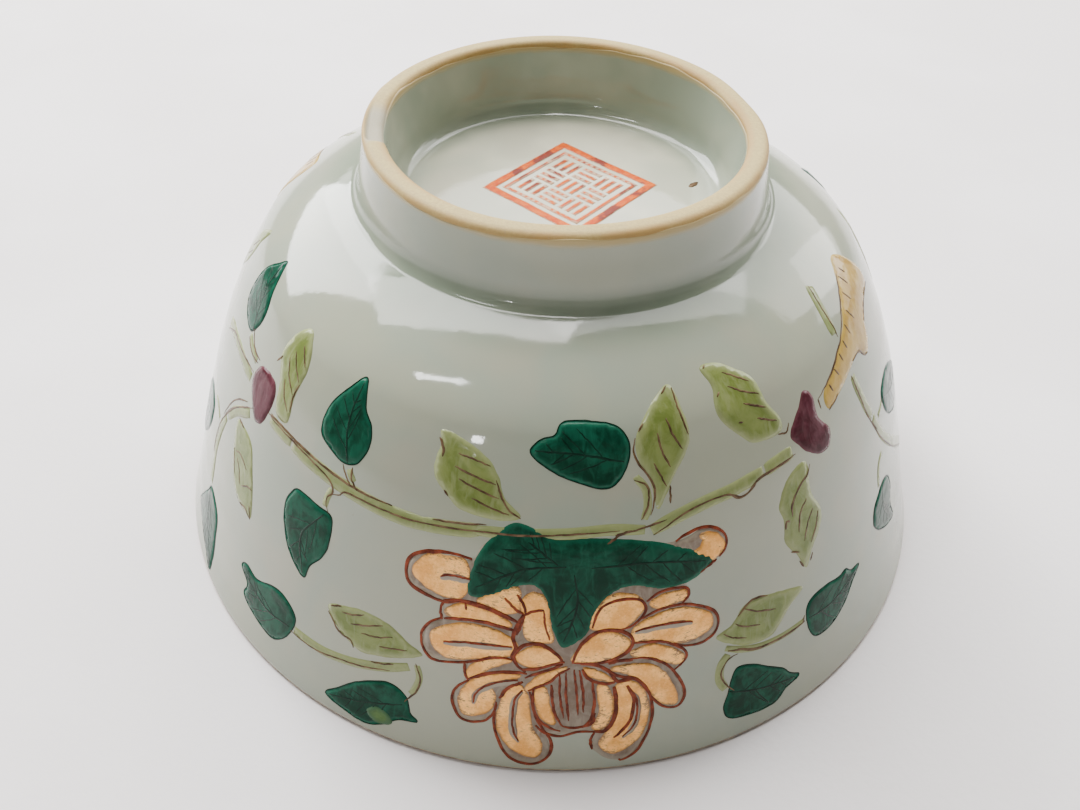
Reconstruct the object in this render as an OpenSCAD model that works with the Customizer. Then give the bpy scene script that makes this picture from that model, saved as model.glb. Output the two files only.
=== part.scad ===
// Bowl of a lidded tea bowl, standing on its mouth rim with the foot ring on top.
// Origin: centre of the mouth rim, on the surface it stands on. +Z runs up to the foot ring,
// and the chrysanthemum on the front faces -Y. The bowl is one fired piece made in layers:
// the clay, the clear glaze over it, and the painted colours fused on the glaze.

/* [Bowl] */
// Diameter across the mouth rim
mouth_d = 108; // [102:1:114]
// Height from the mouth rim to the tip of the foot ring
bowl_h = 57; // [54:1:60]
// Thickness of the wall at the mouth rim, glaze included
lip_t = 2.2; // [1.8:0.1:2.8]
// Thickness of the wall at the base, glaze included
base_t = 3.6; // [3:0.1:4.2]

/* [Foot ring] */
// Outside diameter of the foot ring where it leaves the body
foot_root_d = 51.4; // [50:0.2:53]
// Outside diameter of the foot ring near its tip
foot_tip_d = 49.4; // [47:0.2:50]
// Thickness of the foot ring near its tip
foot_t = 2.7; // [2.4:0.1:3.2]
// Depth of the well inside the foot ring
well_depth = 10; // [9:0.25:11]

/* [Glaze and enamel] */
// Thickness of the clear glaze
glaze_t = 0.3; // [0.2:0.05:0.4]
// Thickness of the green, purple and yellow enamels
enamel_t = 0.25; // [0.15:0.05:0.35]
// Thickness of the gold and of the painted lines
line_t = 0.12; // [0.1:0.02:0.2]
// Width of the painted lines
line_w = 0.5; // [0.4:0.1:0.7]

/* [Seal in the foot] */
// Side of the square frame
seal_w = 16; // [14:0.5:17]
// Turn of the square about the bowl's axis
seal_turn = 51; // [0:1:90]

/* [Hidden] */
$fn = 180;

clay_colour = "#ddd3c0";
glaze_colour = "#c9cec4";
rim_colour = "#8a6a48";
seal_colour = "#c8603c";
vine_colour = "#a9b56e";
sepia_colour = "#4d4030";
dark_colour = "#1f5c48";
pale_colour = "#a3b277";
gold_colour = "#dba95f";
red_colour = "#8e4134";
purple_colour = "#6d4358";
branch_colour = "#cdb37c";

mouth_r = mouth_d / 2;
floor_z = bowl_h - well_depth;
root_r = foot_root_d / 2;
tip_r = foot_tip_d / 2;
glaze_gap = 0.9; // the glaze stops this far below the tip of the foot ring

// ---- The wall's outline, as [radius, height] ----

function bezier(a, b, c, d, t) =
    pow(1 - t, 3) * a + 3 * pow(1 - t, 2) * t * b + 3 * (1 - t) * t * t * c + pow(t, 3) * d;
// A rounded corner from a to c, whose sides meet at b
function corner(a, b, c, steps) = [for (i = [0:steps]) bezier(a, (a + 2 * b) / 3, (c + 2 * b) / 3, c, i / steps)];
// A place on the wall, as fractions of the mouth radius and of the bowl's height
function wall_at(fr, fz) = [fr * mouth_r, fz * bowl_h];

everted_lip = wall_at(1, 0);
lip_pull = wall_at(0.937, 0.15);
side_pull = wall_at(0.883, 0.49);
shoulder = wall_at(0.716, 0.721);
shoulder_pull = wall_at(0.686, 0.763);
base_pull = wall_at(0.587, 0.816);
junction = [root_r + 1.3, 0.84 * bowl_h];

side_steps = 11;
lip_step = 0.035; // the first short stretch is the dressed lip
base_steps = 7;
wall = concat(
    [for (t = concat([0, lip_step], [for (i = [1:side_steps]) i / side_steps]))
        bezier(everted_lip, lip_pull, side_pull, shoulder, t)],
    [for (i = [1:base_steps]) bezier(shoulder, shoulder_pull, base_pull, junction, i / base_steps)]
);
foot_side = concat(
    corner(junction, [root_r + 0.1, junction[1] + 0.3], [root_r - 0.15, junction[1] + 2.4], 4),
    [[tip_r, bowl_h - glaze_gap]]
);
tip_in_r = tip_r - foot_t;
foot_tip = concat(
    corner([tip_r, bowl_h - glaze_gap], [tip_r, bowl_h], [tip_r - 0.8, bowl_h], 3),
    corner([tip_in_r + 0.6, bowl_h], [tip_in_r, bowl_h], [tip_in_r, bowl_h - glaze_gap], 3)
);
well_side = concat(
    corner([tip_in_r, bowl_h - glaze_gap], [tip_in_r - 0.5, bowl_h - 5], [tip_in_r - 0.8, floor_z + 2.6], 1),
    corner([tip_in_r - 0.8, floor_z + 2.6], [tip_in_r - 1, floor_z], [tip_in_r - 3.6, floor_z], 5)
);

function tangent(p, i) =
    let (d = p[min(i + 1, len(p) - 1)] - p[max(i - 1, 0)]) d / norm(d);
// Points moved square to the line, towards the outside of the bowl
function lifted(p, by) = [for (i = [0:len(p) - 1]) let (d = tangent(p, i)) p[i] + by * [d[1], -d[0]]];
function reversed(p) = [for (i = [len(p) - 1:-1:0]) p[i]];
function part_of(p, first, last) = [for (i = [first:last]) p[i]];
function running_length(p) =
    [for (i = 0, run = 0; i < len(p); run = run + (i + 1 < len(p) ? norm(p[i + 1] - p[i]) : 0), i = i + 1) run];

wall_last = len(wall) - 1;
wall_run = running_length(wall);
r_table = [for (i = [0:wall_last]) [wall_run[i], wall[i][0]]];
z_table = [for (i = [0:wall_last]) [wall_run[i], wall[i][1]]];
function wall_r(up) = lookup(up, r_table);
function wall_z(up) = lookup(up, z_table);
function wall_tilt(up) = atan2(wall_z(up + 1) - wall_z(up - 1), wall_r(up - 1) - wall_r(up + 1));

// The inside follows the outside, and the wall thickens towards the base. The lip stays at height 0.
inside = concat(
    [[mouth_r - lip_t, 0]],
    [for (i = [1:wall_last]) let (d = tangent(wall, i))
        wall[i] - (lip_t + (base_t - lip_t) * i / wall_last) * [d[1], -d[0]]],
    [[0, floor_z - base_t + 0.3]]
);
inside_last = len(inside) - 1;
inside_clay = concat(
    [inside[0] + [glaze_t, 0]],
    [for (i = [1:inside_last - 1]) let (d = tangent(inside, i)) inside[i] + glaze_t * [d[1], -d[0]]],
    [inside[inside_last] + [0, glaze_t]]
);
outside = concat(wall, part_of(foot_side, 1, len(foot_side) - 1));
outside_last = len(outside) - 1;
outside_clay = concat(
    [outside[0] - [glaze_t, 0]],
    part_of(lifted(outside, -glaze_t), 1, outside_last - 1),
    [outside[outside_last] - [glaze_t, 0]]
);
well = concat(well_side, [[0, floor_z]]);
well_last = len(well) - 1;
well_clay = concat(
    [well[0] + [glaze_t, 0]],
    part_of(lifted(well, -glaze_t), 1, well_last - 1),
    [[0, floor_z - glaze_t]]
);

// ---- Turned layers ----

module turned(points) rotate_extrude() polygon(points);

module porcelain_body() color(clay_colour)
    turned(concat(reversed(inside_clay), outside_clay, foot_tip, well_clay));

module outer_glaze() color(glaze_colour)
    turned(concat(part_of(outside, 1, outside_last), reversed(part_of(outside_clay, 1, outside_last))));

module inner_glaze() color(glaze_colour)
    turned(concat(part_of(inside_clay, 1, inside_last), reversed(part_of(inside, 1, inside_last))));

module foot_well_glaze() color(glaze_colour)
    turned(concat(well, reversed(well_clay)));

// The brown edge lies on both faces of the lip, and the clay between them meets the table.
module lip_dressing() color(rim_colour) {
    turned([outside[0], outside[1], outside_clay[1], outside_clay[0]]);
    turned([inside_clay[0], inside_clay[1], inside[1], inside[0]]);
}

// ---- Seal: a plain woven pattern in a double frame ----

module bar(size, centre) translate([centre[0] - size[0] / 2, centre[1] - size[1] / 2]) square(size);

module square_ring(side, width) difference() {
    linear_extrude(line_t) bar([side, side], [0, 0]);
    translate([0, 0, -1]) linear_extrude(line_t + 2) bar([side - 2 * width, side - 2 * width], [0, 0]);
}

module at_seal() translate([1, 1.5, floor_z]) rotate([0, 0, seal_turn]) children();

frame_line = 1.3; // the outer line of the double frame
inner_line = 0.7;
frame_gap = 0.5;
inner_frame_w = seal_w - 2 * (frame_line + frame_gap);

module seal_frame() color(seal_colour) at_seal() {
    square_ring(seal_w, frame_line);
    square_ring(inner_frame_w, inner_line);
}

fret_margin = 0.4;
weave_cell = (inner_frame_w - 2 * (inner_line + fret_margin)) / 3;
weave_gap = 0.45;
weave_line = 0.72;
module seal_fret() color(seal_colour) at_seal()
    for (column = [-1:1], row = [-1:1], stripe = [-1:1])
        translate([column, row, 0] * weave_cell)
            rotate([0, 0, (column + row) % 2 == 0 ? 0 : 90])
                linear_extrude(line_t)
                    bar([weave_cell - weave_gap, weave_line], [0, stripe * weave_cell / 3]);

// ---- Painting on the wall ----
// A spot is [angle round the bowl, distance up the wall from the rim]. Angle 0 faces -Y and grows
// towards +X. A drawing's points are millimetres from its spot: round the bowl, then up the wall.

function wall_point(spot, p) =
    let (up = spot[1] + p[1], turn = p[0] / wall_r(spot[1]) * 180 / PI, r = wall_r(up))
    [r * sin(turn), -r * cos(turn), wall_z(up)];
// The same point seen square on to the wall at the spot
function seen(spot, p) =
    let (q = wall_point(spot, p) - wall_point(spot, [0, 0]), tilt = wall_tilt(spot[1]))
    [q[0], q[1] * cos(tilt) + q[2] * sin(tilt)];

module at_wall(spot)
    rotate([0, 0, spot[0]]) translate([0, -wall_r(spot[1]), wall_z(spot[1])])
        rotate([wall_tilt(spot[1]), 0, 0]) children();

function first_below(up) = max([for (i = [0:wall_last]) if (wall_run[i] <= max(up, wall_run[1])) i]);
function first_above(up) = min([for (i = [0:wall_last]) if (wall_run[i] >= min(up, wall_run[wall_last])) i]);

// A layer on the glaze, from height low to high off it, over a window of angles and distances
module layer(low, high, turn_from, turn_to, up_from, up_to) {
    first = first_below(up_from);
    last = first_above(up_to);
    inner = part_of(lifted(wall, low), first, last);
    outer = part_of(lifted(wall, high), first, last);
    rotate([0, 0, turn_from - 90])
        rotate_extrude(angle = turn_to - turn_from) polygon(concat(outer, reversed(inner)));
}

// Paints a flat drawing on the wall at a spot; the points tell how far it reaches
module painted(spot, points, low, high) intersection() {
    turns = [for (p = points) spot[0] + p[0] / wall_r(spot[1]) * 180 / PI];
    ups = [for (p = points) spot[1] + p[1]];
    layer(low, high, min(turns) - 2, max(turns) + 2, min(ups) - 1, max(ups) + 1);
    at_wall(spot) translate([0, 0, -5]) linear_extrude(8) children();
}

// A smooth curve through hand-set points, closed or open
function curve_point(a, b, c, d, t) =
    0.5 * (2 * b + (c - a) * t + (2 * a - 5 * b + 4 * c - d) * t * t + (3 * b - a - 3 * c + d) * pow(t, 3));
function closed_curve(p, steps) =
    let (n = len(p))
    [for (i = [0:n - 1], k = [0:steps - 1])
        curve_point(p[(i + n - 1) % n], p[i], p[(i + 1) % n], p[(i + 2) % n], k / steps)];
function open_curve(p, steps) =
    let (n = len(p) - 1)
    [for (i = [0:n - 1], k = [0:(i == n - 1 ? steps : steps - 1)])
        curve_point(p[max(i - 1, 0)], p[i], p[i + 1], p[min(i + 2, n)], k / steps)];

// A patch of colour inside a closed curve
module patch(spot, outline, low, high) {
    points = closed_curve(outline, 2);
    painted(spot, points, low, high) polygon([for (p = points) seen(spot, p)]);
}

// The outline of a brush stroke along a path, narrower at its two ends
function stroke_outline(path, width) =
    let (p = open_curve(path, 2), n = len(p) - 1, side = [for (i = [0:n])
        let (d = tangent(p, i), half = width / 2 * (i == 0 || i == n ? 0.6 : 1)) half * [-d[1], d[0]]])
    concat([for (i = [0:n]) p[i] + side[i]], [for (i = [n:-1:0]) p[i] - side[i]]);

module stroke(spot, path, width, low, high)
    painted(spot, stroke_outline(path, width), low, high)
        polygon([for (p = stroke_outline(path, width)) seen(spot, p)]);

// ---- The spray's drawings ----

// Each leaf: its spot and its outline; a pale leaf has its veins too
dark_leaves = [
    [[-58, 38], [[-10.2, 4.5], [-9.6, 7.4], [-8.2, 9.2], [-7, 10.4], [-6, 9.4], [-4.6, 7.8], [-3, 5.4],
        [-3, 3], [-4.6, 0.9], [-7.6, 1.2], [-9.8, 2.4]]],
    [[-33, 30], [[-3.9, 9], [-3.6, 7.2], [-2, 6.2], [0.6, 5.4], [2.6, 6.2], [3.6, 8.6], [3.2, 10.8],
        [1.8, 12.4], [0.5, 15.6], [-1.4, 13.8], [-3.3, 11.2]]],
    [[-33, 30], [[-5, -1.2], [-1.6, -1.5], [0.5, -2], [0.6, -5.6], [-0.2, -8], [-1.6, -10], [-2.4, -12.2],
        [-5, -10], [-6.3, -7.4], [-6.8, -4.4], [-6.2, -2.3]]],
    [[-35, 10], [[-13.3, 0.6], [-12, 1.8], [-9.6, 1.3], [-6, 2.8], [-3.6, 2.8], [-1.5, 1], [-2, -1.8],
        [-3.8, -4.4], [-6, -5.3], [-10.4, -4.2], [-12, -3], [-11.4, -1]]],
    [[-35, 10], [[4.5, -7.2], [6.4, -5.2], [8.6, -3], [11, -1.6], [13.2, -0.9], [15.3, -2], [16, -4.4],
        [17, -5.4], [14.6, -6], [12.6, -7.6], [10.4, -8.5], [7.2, -8.1]]],
    [[-8, 40], [[3.5, 2.7], [4.6, 3.9], [6.1, 4.4], [7, 5.8], [10, 5.9], [13, 5.2], [14.3, 3.2], [13.8, 0.6],
        [12, -1.4], [9, -0.8], [6.2, 0.4], [4.2, 1.7]]],
    [[36, 12], [[-8.4, -2], [-7.6, -0.7], [-5.6, -1.2], [-3, -3], [-1, -4.4], [0.2, -5.9], [1.7, -7.2],
        [-0.6, -8], [-2.4, -9.2], [-6, -9], [-8.8, -8.2], [-9.6, -6.2], [-8.9, -4]]],
    [[36, 12], [[3.1, 2], [4, 3.6], [6.6, 4], [9.6, 3.4], [11.2, 3.6], [12.4, 2.5], [14.5, 2], [12.6, 0.4],
        [10.8, -1.7], [8, -3.1], [5, -3], [3.6, -1]]],
    [[64, 20], [[-2.9, 0.2], [-1, 0.7], [1, 0], [1.9, -2], [1.6, -5.4], [2.5, -8.2], [-0.6, -7.3],
        [-3.4, -5.6], [-5.2, -3.4], [-4.8, -1]]],
    [[64, 20], [[3, 11.6], [5.4, 12.6], [8.6, 12.3], [12, 10.6], [15, 8], [12.6, 5.4], [9, 5.2], [5.6, 6.7],
        [3.4, 9]]],
    [[-64, 17], [[-5.8, 5.6], [-5.6, 3.2], [-7.4, 0.2], [-10, -2.4], [-13.6, -5.2], [-16, -6.8], [-16.6, -2],
        [-14.4, 3.4], [-10.6, 6], [-7.6, 6.3]]],
    [[-64, 17], [[-0.5, -3.9], [1.4, -4], [3.4, -5.6], [3.9, -9], [3.7, -15.3], [1, -14.2], [-2.6, -12.6],
        [-5.8, -11.4], [-4, -8.6], [-2, -6]]]
];
pale_leaves = [
    [[-58, 38], [[4.2, 3.4], [4.6, 5.6], [6, 7.8], [7.4, 8.3], [9.2, 6.4], [9.8, 3.8], [9.2, 0.6], [9.4, -2.6],
        [8, -3.3], [6.6, -2.6], [6, 0], [5, 2]],
        [[[7.6, 6.4], [9.2, 4.4]], [[6.6, 5.2], [7.8, 3.6], [9.1, 2.4]], [[6, 4], [7, 2.2], [8.8, 0.6]],
            [[6.6, 1.4], [7.4, -0.2], [8.8, -1.6]]]],
    [[-8, 40], [[-6.7, -0.4], [-6.3, 1.8], [-6.5, 3.3], [-4, 2.9], [-1.2, 1.4], [0.4, -0.6], [1.2, -2.8],
        [3, -4.8], [1, -5.5], [-3.2, -5], [-4.6, -3.9], [-6.3, -2.2]],
        [[[-4.2, 1.2], [-2, 0.8], [-0.6, 0.4]], [[-4.4, -0.3], [-2, -1], [0.2, -1.5]],
            [[-3.8, -1.6], [-1.4, -2.4], [0.6, -3]], [[-2.2, -3.4], [0, -4.2], [1.8, -4.7]]]],
    [[22, 42], [[-1.2, 6.9], [-3, 6], [-5, 3.8], [-6.2, 1.6], [-6, -0.8], [-4.8, -3.4], [-4.3, -6.4],
        [-3.3, -5], [-2.2, -2.8], [-0.8, -0.8], [0, 1.4], [-0.5, 4.6]],
        [[[-2.5, 3.4], [-2, 1.6], [-1.1, -0.2]], [[-3.7, 2], [-3.4, 0], [-2.6, -1.9]],
            [[-4.4, -1.2], [-3.7, -2.8], [-3.2, -4]]]],
    [[22, 42], [[3.4, 7.8], [5.4, 8], [7.6, 6.8], [9.6, 4.8], [10.2, 1.8], [11.5, -0.8], [11.2, -2.3],
        [7.8, -2.2], [6, -0.8], [3.9, 1.8], [3.6, 3.6], [4, 5.6]],
        [[[6, 6.6], [7, 6], [9, 4.6]], [[6, 5], [7.4, 4], [9.6, 2.9]], [[7.2, 2.6], [8.8, 1.8], [10, 1.2]],
            [[8.5, 0.5], [9.8, -0.2], [11, -0.8]]]],
    [[43, 33], [[-0.7, 1.4], [-2.2, 1.8], [-4.4, 0.6], [-5.7, -2], [-5.3, -4], [-5.3, -7], [-3.8, -9.3],
        [-2.4, -12.2], [-1.3, -10], [0.5, -7.2], [0.5, -5], [-0.7, -2.4]],
        [[[-1.2, 0], [-2.4, -0.8], [-3.7, -2.4], [-4, -4]], [[-1.6, -2.8], [-2.8, -4.2], [-3.2, -6.6]],
            [[-0.8, -4.6], [-1.8, -6.2], [-2.5, -8.2]], [[0, -5.4], [-0.4, -7], [-1.5, -9]]]],
    [[36, 12], [[-10.6, 5], [-8.5, 6.1], [-6.8, 8], [-4.6, 8.5], [-1, 7.7], [2.6, 6.4], [0.4, 4.8],
        [-1.2, 3], [-2.6, 1.9], [-5, 1.8], [-8, 2.9]],
        [[[-6.6, 7.7], [-4.8, 6.6], [-2, 5.6]], [[-8, 6.1], [-6.8, 5.2], [-4.4, 4.4]],
            [[-9.6, 5.2], [-8.4, 4.2], [-6.4, 3.3]]]],
    [[-35, 10], [[3.6, 6.3], [5.8, 7.4], [9, 8.1], [12.4, 7.7], [15, 6.1], [17, 4.9], [14.6, 3.6], [12, 2.7],
        [9.4, 2], [7.8, 2.3], [5.9, 3.3], [4.4, 4.8]],
        [[[5.8, 6.4], [7.4, 6.8], [9, 7.6]], [[7.2, 5.4], [9, 6], [11.6, 7.2]],
            [[8.8, 4.8], [11, 5.2], [13, 6.1]], [[11.4, 4], [13, 4.4], [15, 4.9]]]],
    [[-64, 17], [[4.6, 11.4], [5.2, 8], [6.2, 4.8], [8.4, 2.3], [11, 1.8], [12.8, 2], [12.3, 5.4],
        [11.4, 8.4], [9.8, 11.2], [7, 12]],
        [[[6.2, 7.8], [7.8, 8.3], [10, 7.5]], [[7, 7.2], [8, 6.2], [8.8, 4.4]], [[5.6, 7.8], [6.4, 6], [6.9, 4.6]],
            [[9.4, 4.6], [11, 5.6], [12, 5.7]]]],
    [[-84, 40], [[-3, -3.6], [-1.4, -2], [0.6, 0.4], [1.8, 3.4], [2.2, 6.6], [0, 5.4], [-2, 3], [-3.4, 0]],
        [[[-1, 1.6], [1, 4]], [[-2, -0.6], [0.4, 1.8]]]]
];
// Each bud: its spot and its outline
buds = [
    [[-58, 38], [[0.2, -2.6], [0.7, -0.8], [2.2, 0.2], [5, 0], [6, -1.8], [5.5, -4.2], [4.8, -6],
        [3.4, -6.6], [2, -5.4], [0.8, -4]]],
    [[43, 33], [[-2.4, 5.6], [-1.2, 7.2], [0, 8.2], [1.3, 9.6], [2.7, 8.6], [2.9, 5.6], [4.4, 3.4], [3.8, 1.5],
        [2, 1.3], [-0.2, 2.6], [-1.4, 4]]]
];
// The yellow branch: its spot and its outline, then the short strokes on it
branch_drawing = [[62, 42], [[-8.6, -1.3], [-5, 0.6], [-1.2, 2.3], [2, 4.2], [6, 6.5], [9.6, 7.8], [12, 5.6], [13, 1.1],
    [9, 0.9], [6, -0.2], [4.6, -2.6], [3, -3.4], [0.6, -1.7], [-2, -1.9], [-5, -2.8], [-8.4, -3.6]]];
tick_paths = [
    [[-7.4, -1], [-7, -2.1]], [[-5.6, 0], [-5, -1.1]], [[-3.6, 0.9], [-3.3, -0.2]], [[-1.8, 1.6], [-1.5, 0.4]],
    [[0.1, 2.7], [0.5, 1.2]], [[2.2, 3.5], [3, 1.8]], [[4.3, 5], [4.9, 3.4]], [[6.5, 6.2], [6.9, 4.6]],
    [[8.2, 6.5], [8.5, 5.4]]
];
// Each length of vine: its spot, its path and its width
vine_paths = [
    [[-58, 38], [[-13, -3.9], [-10, -3], [-6, -2.6], [-3, -2.8], [-0.2, -3]], 1.6],
    [[-58, 38], [[-4.2, 0.7], [-2.8, 0], [-1.6, -0.3], [-0.2, -0.6]], 1],
    [[-58, 38], [[6.3, -4.2], [8.4, -4.4], [10.8, -4.5]], 1.6],
    [[-58, 38], [[2, -6.6], [-1.2, -8.8], [-3.3, -11.3]], 1.4],
    [[-33, 30], [[-7.7, 3.4], [-3, 3], [2, 2.6], [8, 2.2], [12.8, 2.2]], 1.9],
    [[-33, 30], [[1.6, 5], [2, 4.4], [2.6, 3.8]], 0.9],
    [[-33, 30], [[-0.2, 1.6], [-0.6, 0.4], [-0.8, -1]], 0.9],
    [[-8, 40], [[-5.9, -7.7], [-3, -7.3], [-1.2, -7]], 1.8],
    [[22, 42], [[-5, -8.8], [-2, -7.6], [1, -6.8], [4, -6.4], [8, -5.7]], 1.7],
    [[22, 42], [[-6.4, -2.4], [-5.4, -4], [-5.3, -6], [-5.7, -7.4]], 0.9],
    [[43, 33], [[-7, 3.3], [-5, 3.6], [-2.6, 3.8]], 1.7],
    [[62, 42], [[-2.7, 3], [-2.4, 4.4], [-1.8, 6], [-1, 7.6], [0, 9]], 1.6],
    [[62, 42], [[-2.3, -3], [-2, -5], [-1.2, -8], [-0.1, -10.5]], 1.4],
    [[64, 20], [[-1.6, 11.2], [0, 8], [2.4, 5], [6, 1.6], [10, -1.8], [13.6, -4.8]], 1.6],
    [[64, 20], [[-2.6, 1], [-2.5, 2.8], [-1.9, 4.2], [-0.4, 5]], 1],
    [[64, 20], [[0.1, 10.2], [1.6, 10.4], [2.7, 10.9]], 0.8],
    [[-64, 17], [[0.9, 9.2], [-0.4, 6], [-1, 2], [-0.8, -3.4]], 1.5],
    [[-64, 17], [[-1.8, 6.8], [-4, 7.6], [-5.8, 7.4]], 1],
    [[-35, 10], [[-1.4, -0.9], [1, -1.1], [4, -1], [8, -0.2], [12, 1.1], [15.4, 2.6]], 1.4],
    [[-35, 10], [[16.4, 3.2], [16.8, 1.4], [16.3, -0.6], [15.8, -1.4]], 0.9],
    [[36, 12], [[-9.3, 2.9], [-7, 1.8], [-4, 1], [0, 0.8], [2.7, 1.1]], 1],
    [[36, 12], [[-9, 1.9], [-10, 0.4], [-10.1, -1.6], [-9.3, -3.4]], 1.2]
];
// The flower, drawn round its own spot
flower_spot = [4, 16];
calyx_outline = [
    [-12.4, 8.9], [-12.2, 12.4], [-9.8, 16.8], [-5, 17.8], [2, 17], [9, 16], [14, 14.2], [17.2, 12.2],
    [14.2, 10], [10.5, 9.7], [6.5, 10.6], [3.2, 8.8], [1.6, 4.6], [-1.2, 2.8], [-2.4, 5.4],
    [-3.8, 10.2], [-6, 10.9], [-9.6, 9.1]
];
gold_petals = [
    [[-12.9, 8.6], [-16, 8.2], [-19.2, 10], [-18, 12.4], [-15.6, 13], [-12.8, 12.8]],
    [[-14.8, 5.7], [-13.6, 7.2], [-11.6, 7.5], [-8.6, 6.8], [-7.1, 5.5], [-10.4, 5.6]],
    [[-6.6, 3.4], [-9.4, 4.8], [-13, 4.8], [-16, 3], [-16, 0.9], [-14, -0.3], [-9.6, 0.8], [-6.8, 1.6]],
    [[-12, -2.2], [-10.8, -0.2], [-8.4, 0.8], [-6.8, 0.7], [-9.4, -0.8], [-11.2, -2.5]],
    [[-5.8, -1.3], [-8.4, -1.4], [-11.3, -3], [-12.5, -5.8], [-11.8, -8.1], [-9.4, -7.4], [-8.5, -5], [-8.8, -3]],
    [[-6, -2.6], [-7.6, -5], [-8, -9], [-6.6, -12.2], [-3.8, -13.4], [-3.1, -11.6], [-4.4, -8.4], [-4.8, -4.6]],
    [[-5, -3], [-3.6, -1.2], [-0.5, 0.2], [-2.2, -1.4], [-4.4, -3.2]],
    [[-3.9, -3.2], [-2.8, -3], [-2.4, -5.6], [-1.7, -8.2], [-3, -7.6], [-3.8, -5.4]],
    [[-6.3, 0.9], [-5.2, 2.6], [-3.4, 3], [-1.9, 2], [-1.2, 0.9], [-4, 0.1]],
    [[0.1, 1.3], [2.2, 4.3], [4.2, 4.9], [6.6, 3.2], [5, 1.3], [2, 0.7]],
    [[2.7, 6], [4.2, 8.4], [6.6, 8.8], [8, 7.6], [6, 5.4], [3.6, 5.3]],
    [[9, 8], [10.4, 8.9], [13.4, 8.9], [13.2, 7.9], [10.4, 7.4]],
    [[7.2, 5], [9.4, 6.3], [13, 6.6], [16.2, 5], [16.6, 3], [13.6, 1.9], [9.6, 3], [7, 3.3]],
    [[7, 1.9], [9.4, 2.4], [12, 1], [13.1, -0.5], [12.2, -1.1], [9.6, 0.3], [7.2, 1.1]],
    [[4.5, -0.3], [7.6, -0.1], [10.2, -1.4], [12, -4.8], [12.2, -7], [10.2, -6.2], [8.4, -3.2], [6.6, -1.4]],
    [[1.4, 0], [3.4, -0.8], [4.7, -2.2], [2.4, -1.3]],
    [[3.1, -2.8], [4.2, -3.2], [4.8, -6], [4, -8.9], [2.7, -9], [3.4, -6.6]],
    [[5.2, -3], [7.4, -2.8], [8.9, -6.6], [8, -11], [5.2, -13.1], [3.5, -11.6], [5, -8]],
    [[15.6, 15.4], [17.4, 15.2], [18.7, 13.8], [18.2, 13]]
];
stripes = [
    [[-1.3, -0.8], [-1.2, -4], [-0.7, -7.4]], [[-0.6, -0.6], [-0.5, -4], [-0.1, -7.8]],
    [[0.3, -0.2], [0.7, -4], [0.9, -7]], [[0.9, -0.3], [1.4, -3.6], [1.5, -6.6]]
];

// ---- The spray's layers; turn carries the whole spray round the bowl ----

module spray(colour, turn) color(colour) rotate([0, 0, turn]) children();

module vine(turn) spray(vine_colour, turn)
    for (v = vine_paths) stroke(v[0], v[1], v[2], 0, enamel_t);

// Sepia lines drawn along the middle of the wider vines
module vine_lines(turn) spray(sepia_colour, turn)
    for (v = vine_paths) if (v[2] > 1.3) stroke(v[0], v[1], line_w, enamel_t, enamel_t + line_t);

module dark_leaf_enamel(turn) spray(dark_colour, turn)
    for (l = dark_leaves) patch(l[0], l[1], 0, enamel_t);

module pale_leaf_enamel(turn) spray(pale_colour, turn)
    for (l = pale_leaves) patch(l[0], l[1], 0, enamel_t);

module leaf_vein_lines(turn) spray(sepia_colour, turn)
    for (l = pale_leaves, vein = l[2]) stroke(l[0], vein, 0.7 * line_w, enamel_t, enamel_t + line_t);

module calyx(turn) spray(dark_colour, turn) patch(flower_spot, calyx_outline, 0, enamel_t);

module gold_petal_layer(turn) spray(gold_colour, turn)
    for (p = gold_petals) patch(flower_spot, p, 0, line_t);

// A closed outline moved out by a distance
function turning(p) =
    let (n = len(p)) [for (i = [0:n - 1]) cross(p[i], p[(i + 1) % n])] * [for (i = [0:n - 1]) 1];
function grown(p, by) =
    let (n = len(p), out = turning(p) < 0 ? by : -by)
    [for (i = [0:n - 1]) let (d = p[(i + 1) % n] - p[(i + n - 1) % n]) p[i] + out * [-d[1], d[0]] / norm(d)];

// One red network fills the gaps between the petals and borders them
module petal_lines(turn) spray(red_colour, turn) {
    inner = [for (p = gold_petals) closed_curve(p, 2)];
    outer = [for (p = inner) grown(p, line_w)];
    painted(flower_spot, [for (p = outer, q = p) q], 0, line_t) difference() {
        for (p = outer) polygon([for (q = p) seen(flower_spot, q)]);
        for (p = inner) polygon([for (q = p) seen(flower_spot, q)]);
    }
}

module petal_stripes(turn) spray(red_colour, turn)
    for (path = stripes) stroke(flower_spot, path, 0.7 * line_w, 0, line_t);

module bud_enamel(turn) spray(purple_colour, turn)
    for (b = buds) patch(b[0], b[1], 0, enamel_t);

module branch(turn) spray(branch_colour, turn) patch(branch_drawing[0], branch_drawing[1], 0, enamel_t);

module branch_ticks(turn) spray(sepia_colour, turn)
    for (path = tick_paths) stroke(branch_drawing[0], path, line_w, enamel_t, enamel_t + line_t);

front = 0;
back = 180;

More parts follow.
